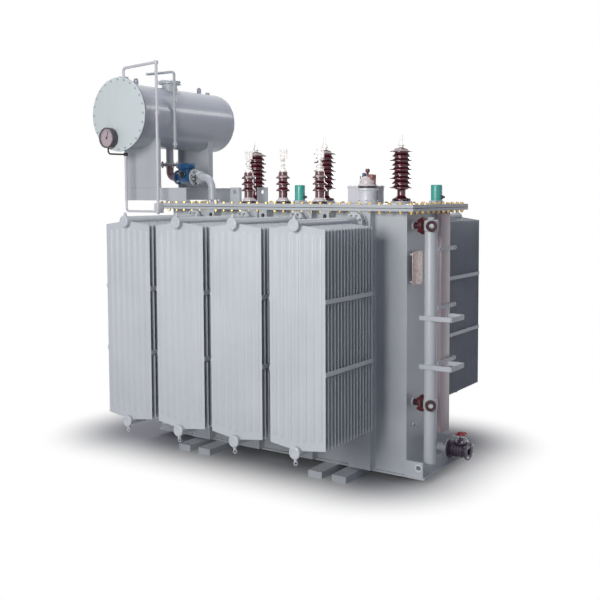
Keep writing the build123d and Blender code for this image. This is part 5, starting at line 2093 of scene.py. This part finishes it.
    def caps(self) -> None:
        """Two domed relief caps on bolted feet, each with a small dark plug at its side."""
        box, foot = NodeBox.of("relief_caps"), self.cap_flange
        rise, base = float(box.size[2]), box.low[2]
        near, far = box.low + foot.radius, box.high - foot.radius
        low, edge = self.cap_levels
        domes, feet, nuts, plugs = [], [], [], []
        for corner, radius in zip((near, far), self.cap_radii):
            spot = np.array([*corner[:2], base])
            dome = [
                (radius * self.cap_shares[0], low), (radius, edge), (radius, rise - self.cap_round),
                (radius * self.cap_shares[1], rise),
            ]
            steps = [(radius + out, level) for out, level in self.cap_foot_steps]
            skirt = [(foot.radius, 0.0), (foot.radius, foot.depth), *steps]
            side = spot + RIGHT * (radius - self.plug_sink) + UP * self.plug_level
            domes.append(turned(dome, steps=40, ease=self.cap_ease).at(spot, UP, RIGHT))
            feet.append(turned(skirt, steps=40, ease=self.cap_foot_ease).at(spot, UP, RIGHT))
            nuts.append(foot.outer_nuts(spot, UP))
            plugs.append(turned(self.plug_profile, steps=6, poles=False).at(side, RIGHT))
        # The domes' teal is lightened as a painted highlight.
        self.make("relief_cap_domes", domes, GREEN, "relief_caps")
        self.make("relief_cap_feet", feet, GREY)
        self.make("relief_cap_nuts", nuts, STEEL)
        self.make("relief_cap_plugs", plugs, CLAMP)


@dataclass
class FilterPipe(Assembly):
    """Upright oil filter pipe on the right end, with its two valves and flat-bar brackets."""

    pipe_bevel: float = 0.006
    foot_radius: float = 0.045
    foot_depth: float = 0.012
    neck_radius: float = 0.028
    flange: Flange = Flange(0.0725, 0.011, bolt_count=4, bolt_inset=0.015, thread=0.016)
    flange_span: Pair = (0.076, 0.1)
    barrel_height: float = 0.1
    barrel_bulge: float = 0.008
    barrel_edge: float = 0.012
    bonnet_radius: float = 0.047
    bonnet_foot: float = 0.03
    bonnet_reach: float = 0.084
    bonnet_rim: Profile = ((0.0, 0.006), (0.006, 0.0), (0.014, 0.0), (0.016, 0.008))
    bonnet_axis: Size = (0.5, -0.866, 0.0)
    spindle: Fastener = Fastener(0.018)
    cap_radius: float = 0.03
    cap_rise: float = 0.022
    bar_height: float = 0.04
    bar_depth: float = 0.016
    bar_cut: float = 0.0015
    bar_bend: float = 0.012
    return_arm: float = 0.15

    def build(self) -> None:
        """Make the pipe, valves and brackets."""
        tube, valves = NodeBox.of("oil_filter_pipe"), NodeBox.of("filter_valves")
        radius, low, high = tube.radius, tube.low[2], tube.high[2]
        x, y, _ = tube.centre
        outline = [(radius - self.pipe_bevel, low), (radius, low + self.pipe_bevel), (radius, high)]
        stand = turned(outline, steps=40).at((x, y, 0.0), UP)
        self.make("filter_stand", [stand], GREY, "oil_filter_pipe")
        levels = (valves.high[2] - self.flange.radius, valves.low[2] + self.flange.radius)
        spots = [(valves.low[0], y, level) for level in levels]
        middles = np.array([(x, y, level) for level in levels])
        foot = sleeve(self.foot_radius, 0.0, self.foot_depth, steps=40)
        self.make("filter_valve_feet", [foot.at(spots, RIGHT)], GREY)
        self.make("filter_valve_sleeves", self.sleeves(middles, valves.high[0] - x), GREY)
        face, end = self.flange_span
        neck = sleeve(self.neck_radius, self.foot_depth, face, steps=24)
        rim = [(self.bonnet_radius - inset, self.bonnet_reach - drop) for inset, drop in self.bonnet_rim]
        bonnet = turned([(self.bonnet_radius, self.bonnet_foot), *rim], steps=32)
        bodies = [neck.at(spots, RIGHT), bonnet.at(middles, self.bonnet_axis)]
        self.make("filter_valve_bodies", bodies, BONNET)
        tips = middles + np.array(self.bonnet_axis) * rim[-1][1]
        self.make("filter_valve_spindles", [self.spindle.head().at(tips, self.bonnet_axis)], STEEL)
        pair = [
            self.flange.disc(UP * face, UP), self.flange.disc(UP * end, DOWN),
            self.flange.nuts(UP * face, DOWN), self.flange.nuts(UP * end, UP),
        ]
        self.make("filter_valve_flanges", [part.at(spots, RIGHT) for part in pair], MAROON, "filter_valves")
        self.brackets()

    def sleeves(self, middles: Array, barrel: float) -> list[Surface]:
        """Bulged sleeves where the valves meet the pipe, with a hexagon cap on the upper one.

        Args:
            middles: Where the valves meet the pipe's axis, the upper one first.
            barrel: Radius of the bulge.

        Returns:
            The sleeves and the cap.
        """
        half, edge = self.barrel_height / 2.0, barrel - self.barrel_bulge
        bulge = half - self.barrel_edge
        drum = turned([(edge, -half), (barrel, -bulge), (barrel, bulge), (edge, half)], steps=40)
        cap = sleeve(self.cap_radius, half, half + self.cap_rise, steps=6)
        return [drum.at(middles, UP), cap.at(middles[:1], UP)]

    def brackets(self) -> None:
        """Flat bars bent round the pipe's outer side: a section carried along the bar's middle line."""
        box = NodeBox.of("filter_brackets")
        half, rise = self.bar_depth / 2.0, self.bar_height / 2.0
        near, far, outer = box.low[1] + half, box.high[1] - half, box.high[0] - half
        corners = [(box.low[0], near), (outer, near), (outer, far), (box.high[0] - self.return_arm, far)]
        section = bar(self.bar_depth, self.bar_height, self.bar_cut)
        bars = [
            swept(rounded([(*corner, level) for corner in corners], self.bar_bend), section, UP)
            for level in (box.low[2] + rise, box.high[2] - rise)
        ]
        self.make("filter_bars", bars, GREY, "filter_brackets")


@dataclass
class EndFittings(Assembly):
    """Cable duct, nameplate and small studs on the right end."""

    duct_depth: float = 0.055
    duct_width: float = 0.18
    duct_ease: float = 0.004
    strap_depth: float = 0.022
    strap_height: float = 0.034
    strap_ease: float = 0.002
    strap_levels: Size = (1.951, 1.4365, 0.9465)
    strap_screw: Fastener = Fastener(0.009)
    plate_depth: float = 0.006
    plate_ease: float = 0.002
    plate_screw: Fastener = Fastener(0.006)
    post_radius: float = 0.01
    post_inset: float = 0.025
    screw_inset: float = 0.014
    stud_place: Size = (1.31, -0.3, 0.478)
    stud_nut: Fastener = Fastener(0.014)
    stud_boss: float = 0.02
    stud_reach: float = 0.016
    ring_radius: float = 0.0275
    ring_bar: Size = (0.011, 0.008, 0.0015)
    hole_place: Pair = (1.44, 0.15)

    def build(self) -> None:
        """Make the end's pieces."""
        self.duct()
        self.nameplate()
        self.studs()

    def duct(self) -> None:
        """A flat folded duct held by straps, with screws in the straps' ends."""
        box = NodeBox.of("cable_duct")
        wall, (_, y, z), (_, width, height) = box.low[0], box.centre, box.size
        size = (self.duct_depth, self.duct_width, height)
        cover = block((wall + self.duct_depth / 2.0, y, z), size, self.duct_ease)
        x = wall + self.duct_depth + self.strap_depth / 2.0
        strap = (self.strap_depth, width, self.strap_height)
        straps = [block((x, y, level), strap, self.strap_ease) for level in self.strap_levels]
        face, reach = x + self.strap_depth / 2.0, (width - self.strap_height) / 2.0
        spots = [(face, y + side * reach, level) for side in (-1.0, 1.0) for level in self.strap_levels]
        self.make("duct_cover", [cover], DUCT, "cable_duct")
        self.make("duct_straps", straps, GREY)
        self.make("duct_screws", [self.strap_screw.head().at(spots, RIGHT)], STEEL)

    def nameplate(self) -> None:
        """A bare plate on four posts, with a screw in each corner."""
        box, depth = NodeBox.of("nameplate_holder"), self.plate_depth
        (wall, _, _), (face, _, _), (_, y, z) = box.low, box.high, box.centre
        plate = block((face - depth / 2.0, y, z), (depth, *box.size[1:]), self.plate_ease)
        self.make("bare_nameplate", [plate], PLATE, "nameplate_holder")
        post = sleeve(self.post_radius, 0.0, face - depth - wall, steps=16)
        for name, part, x, inset, finish in (
            ("nameplate_posts", post, wall, self.post_inset, GREY),
            ("nameplate_screws", self.plate_screw.head(), face, self.screw_inset, STEEL),
        ):
            low, high = box.low + inset, box.high - inset
            corners = [(x, side, level) for side in (low[1], high[1]) for level in (low[2], high[2])]
            self.make(name, [part.at(corners, RIGHT)], finish)

    def studs(self) -> None:
        """An earthing stud low on the end, and pale rings round the jacking lugs' holes, in the grey
        lightened as painted light.
        """
        boss = sleeve(self.stud_boss, 0.0, self.stud_reach, steps=20)
        self.make("earthing_boss", [boss.at(self.stud_place, RIGHT)], GREY)
        tip = self.stud_place + RIGHT * self.stud_reach
        self.make("earthing_stud", [self.stud_nut.nut().at(tip, RIGHT)], STEEL)
        lugs, (x, z) = NodeBox.of("jacking_lugs"), self.hole_place
        ring = hoop(self.ring_radius, bar(*self.ring_bar), steps=24)
        spots = [(side * x, y, z) for side in (-1.0, 1.0) for y in (lugs.low[1], lugs.high[1])]
        # The rings take the grey that is lightened as painted light.
        self.make("lug_rings", [ring.at(spots, FORWARD, RIGHT)], LIT_GREY)


@dataclass
class DrainValve(Assembly):
    """Drain valve low on the right end: a pale stub, a dark ribbed body and a red handwheel."""

    stub_radius: float = 0.038
    stub_reach: float = 0.11
    flange: Flange = Flange(0.08, 0.016, bolt_inset=0.016, bolt_count=4)
    waist_radius: float = 0.052
    waist_slope: float = 0.004
    body_radius: float = 0.068
    body_runs: Pair = (0.018, 0.034)
    body_ease: float = 0.003
    rib_depth: float = 0.005
    rib_count: int = 4
    mouth_steps: Profile = ((0.04, 0.0), (0.036, 0.004), (0.036, 0.05), (0.004, 0.05))
    body_pole: float = 0.02
    bonnet_x: float = 1.538
    bonnet_profile: Profile = (
        (0.03, 0.03), (0.03, 0.062), (0.066, 0.066), (0.066, 0.08), (0.038, 0.084), (0.024, 0.092),
        (0.016, 0.112),
    )
    yoke: Flange = Flange(0.066, bolt_count=6, bolt_inset=0.012, thread=0.01)
    yoke_level: float = 0.08
    stem_radius: float = 0.008
    stem_foot: float = 0.05
    spoke_count: int = 5
    spoke_radii: Size = (0.006, 0.005, 0.004)
    spoke_start: float = 0.008
    hub_radii: Pair = (0.016, 0.012)
    hub_rise: float = 0.004

    def build(self) -> None:
        """Make the stub, body, bonnet and wheel."""
        box, wheel, flange = NodeBox.of("drain_valve"), NodeBox.of("drain_handwheel"), self.flange
        y, axis = box.centre[1], box.low[2] + flange.radius
        wall, joint, mouth, bonnet = (
            np.array([x, y, axis])
            for x in (box.low[0], box.low[0] + self.stub_reach, box.high[0], self.bonnet_x)
        )
        stub = sleeve(self.stub_radius, 0.0, self.stub_reach, steps=32).at(wall, RIGHT)
        self.make("drain_stub", [stub, flange.disc(joint, LEFT)], GREY)
        body = self.body(mouth[0] - joint[0]).at(joint, RIGHT)
        yoke = turned(self.bonnet_profile, steps=32).at(bonnet, UP)
        self.make("drain_body", [body, yoke], IRON, "drain_valve")
        self.make("drain_nuts", [
            sleeve(self.stem_radius, self.stem_foot, wheel.centre[2] - axis, steps=16).at(bonnet, UP),
            flange.outer_nuts(joint, LEFT),
            flange.outer_nuts(mouth, LEFT),
            flange.nuts(mouth, RIGHT),
            self.yoke.nuts(bonnet + UP * self.yoke_level, UP),
        ], STEEL)
        self.make("handwheel", [self.handwheel(wheel)], RED, "drain_handwheel")

    def body(self, length: float) -> Surface:
        """The cast body between two flanges, with cosine ribs round it, and an open mouth.

        Args:
            length: From the joint with the stub to the mouth.

        Returns:
            The body along Z.
        """
        flange, depth, waist = self.flange.radius, self.flange.depth, self.waist_radius
        start, stop = depth + self.body_runs[0], length - depth - self.body_runs[1]
        neck = depth + self.waist_slope
        level = np.linspace(start, stop, 33)
        wave = np.cos((level - start) / (stop - start) * self.rib_count * FULL_TURN)
        ribs = self.body_radius - self.rib_depth * (0.5 + 0.5 * wave)
        first = rounded([
            (self.body_pole, 0.0), (flange, 0.0), (flange, depth), (waist, neck), (waist, start),
        ], self.body_ease)
        last = rounded([
            (waist, stop), (waist, length - neck), (flange, length - depth), (flange, length),
            *((radius, length - drop) for radius, drop in self.mouth_steps),
        ], self.body_ease)
        return revolved(np.vstack([first, np.stack([ribs, level], axis=-1), last]), steps=40)

    def handwheel(self, box: NodeBox) -> Surface:
        """The handwheel: a ring of round section, spokes and a hub.

        Args:
            box: Where the wheel stands.

        Returns:
            The wheel in place.
        """
        radius, tube = box.radius, float(box.size[2]) / 2.0
        rim = hoop(radius - tube, circle(tube, steps=12), steps=48)
        runs = (self.spoke_start, radius - 2.0 * tube, radius - tube)
        spoke = turned(list(zip(self.spoke_radii, runs)), steps=10, poles=False).at(ORIGIN, RIGHT)
        outer, top = self.hub_radii
        hub = turned([(outer, -tube), (outer, tube), (top, tube + self.hub_rise)], steps=20)
        spokes = spoke.copies(turns(even(self.spoke_count)))
        return Surface.join([rim, hub, spokes]).at(box.centre, UP, RIGHT)


# Stage


@dataclass(frozen=True)
class Lamp:
    """One area lamp: where it hangs, the lengths of its sides, and its watts."""

    name: str
    place: Size
    sides: Pair
    power: float


@dataclass
class Studio:
    """Pale floor, soft lights, white surround and the photograph's camera."""

    floor_half: float = 40.0
    floor_colour: Colour = linear(172, 172, 174)
    # Rectangle and fall-off of the painted shadow on the floor round the tank.
    shade_place: Size = (-0.359, 0.244, 0.0)
    shade_half: Size = (1.333, 0.537, 1.0)
    shade_range: Pair = (0.224, 1.165)
    sky_colour: Colour = linear(206, 211, 252)
    sky_strength: float = 0.19
    lamps: tuple[Lamp, ...] = (
        Lamp("key", (1.0, -7.5, 3.5), (3.5, 3.5), 335.0),
        Lamp("top", (-1.6, 1.0, 9.0), (5.0, 5.0), 240.0),
        Lamp("strip", (3.7, 6.5, 6.5), (1.0, 2.4), 55.0),
        Lamp("fill", (-2.5, 9.5, 4.0), (4.0, 4.0), 260.0),
    )
    target: Size = (-0.2, 0.0, 1.5)
    camera_place: Size = (4.709, -6.69, 2.432)
    camera_turn: Size = (86.411, 0.0, 31.491)
    lens: float = 51.6
    shift: Pair = (-0.102, -0.0867)

    def build(self) -> None:
        """Set the view, floor, lights, world and camera."""
        bpy.context.scene.view_settings.view_transform = "Standard"
        self.floor()
        self.world()
        for lamp in self.lamps:
            self.hang(lamp)
        self.camera()

    def floor(self) -> None:
        """A plane under the skids: white where it is seen, but round the tank a painted shadow, where the lit
        floor with its real shadows shows.

        The share of white rises smoothly with the distance outside a rectangle: the length of
        what the folded place has past the rectangle's half size.
        """
        half = self.floor_half
        mesh = bpy.data.meshes.new("floor")
        corners = [(-half, -half, 0.0), (half, -half, 0.0), (half, half, 0.0), (-half, half, 0.0)]
        mesh.from_pydata(corners, [], [(0, 1, 2, 3)])
        graph = Graph(bpy.data.materials.new("floor_white"))
        lit = graph.add("ShaderNodeBsdfDiffuse", None, {"Color": self.floor_colour})
        glow = graph.add("ShaderNodeEmission", None, {"Color": WHITE, "Strength": 1.0})
        past = graph.place
        for operation, other in (
            ("SUBTRACT", self.shade_place), ("ABSOLUTE", ORIGIN),
            ("SUBTRACT", self.shade_half), ("MAXIMUM", ORIGIN),
        ):
            past = graph.add("ShaderNodeVectorMath", {"operation": operation}, {0: past, 1: other})
        distance = graph.add("ShaderNodeVectorMath", {"operation": "LENGTH"}, {0: past}, "Value")
        # Inside the rectangle the lit floor shows, and the soft fall-off outside it paints the rest of the
        # shadow.
        share = graph.seen() * graph.clear(distance, self.shade_range)
        mixed = graph.add("ShaderNodeMixShader", None, {0: share, 1: lit, 2: glow})
        mesh.materials.append(graph.close(mixed))
        plane = bpy.data.objects.new("floor", mesh)
        bpy.context.scene.collection.objects.link(plane)

    def world(self) -> None:
        """White where it is seen, and a plain soft light otherwise."""
        graph = Graph(bpy.data.worlds.new("surround"))
        sky = {"Color": self.sky_colour, "Strength": self.sky_strength}
        soft = graph.add("ShaderNodeBackground", None, sky)
        white = graph.add("ShaderNodeBackground", None, {"Color": WHITE, "Strength": 1.0})
        mixed = graph.add("ShaderNodeMixShader", None, {0: graph.seen(), 1: soft, 2: white})
        bpy.context.scene.world = graph.close(mixed)

    def hang(self, lamp: Lamp) -> None:
        """Hang one lamp, aimed at the tank's middle.

        Args:
            lamp: The lamp.
        """
        data = bpy.data.lights.new(lamp.name, "AREA")
        data.shape = "RECTANGLE"
        data.size, data.size_y = lamp.sides
        data.energy = lamp.power
        hung = bpy.data.objects.new(lamp.name, data)
        away = np.subtract(lamp.place, self.target)
        hung.matrix_world = Matrix(aim(lamp.place, away)[0].tolist())
        bpy.context.scene.collection.objects.link(hung)

    def camera(self) -> None:
        """The camera that was fitted to the photograph's radiator edges."""
        data = bpy.data.cameras.new("camera")
        data.lens = self.lens
        data.shift_x, data.shift_y = self.shift
        camera = bpy.data.objects.new("camera", data)
        camera.location = self.camera_place
        camera.rotation_euler = np.radians(self.camera_turn)
        bpy.context.scene.collection.objects.link(camera)
        bpy.context.scene.camera = camera


def main() -> None:
    """Build the transformer's pieces in order, then the studio."""
    logging.basicConfig(level=logging.INFO, format="%(name)s: %(message)s")
    shop = Workshop()
    Tank(shop).build()
    for side in Side:
        for number in BANKS:
            RadiatorBank(shop, side, number).build()
        RadiatorValves(shop, side).build()
    for kind in (
        Conservator, ThinPipes, Gauge, RelayLine, HighBushings, LowBushings, CoverFittings, FilterPipe,
        EndFittings, DrainValve,
    ):
        kind(shop).build()
    Studio().build()
    log.info("%d pieces made", shop.count)


if __name__ == "__main__":
    main()
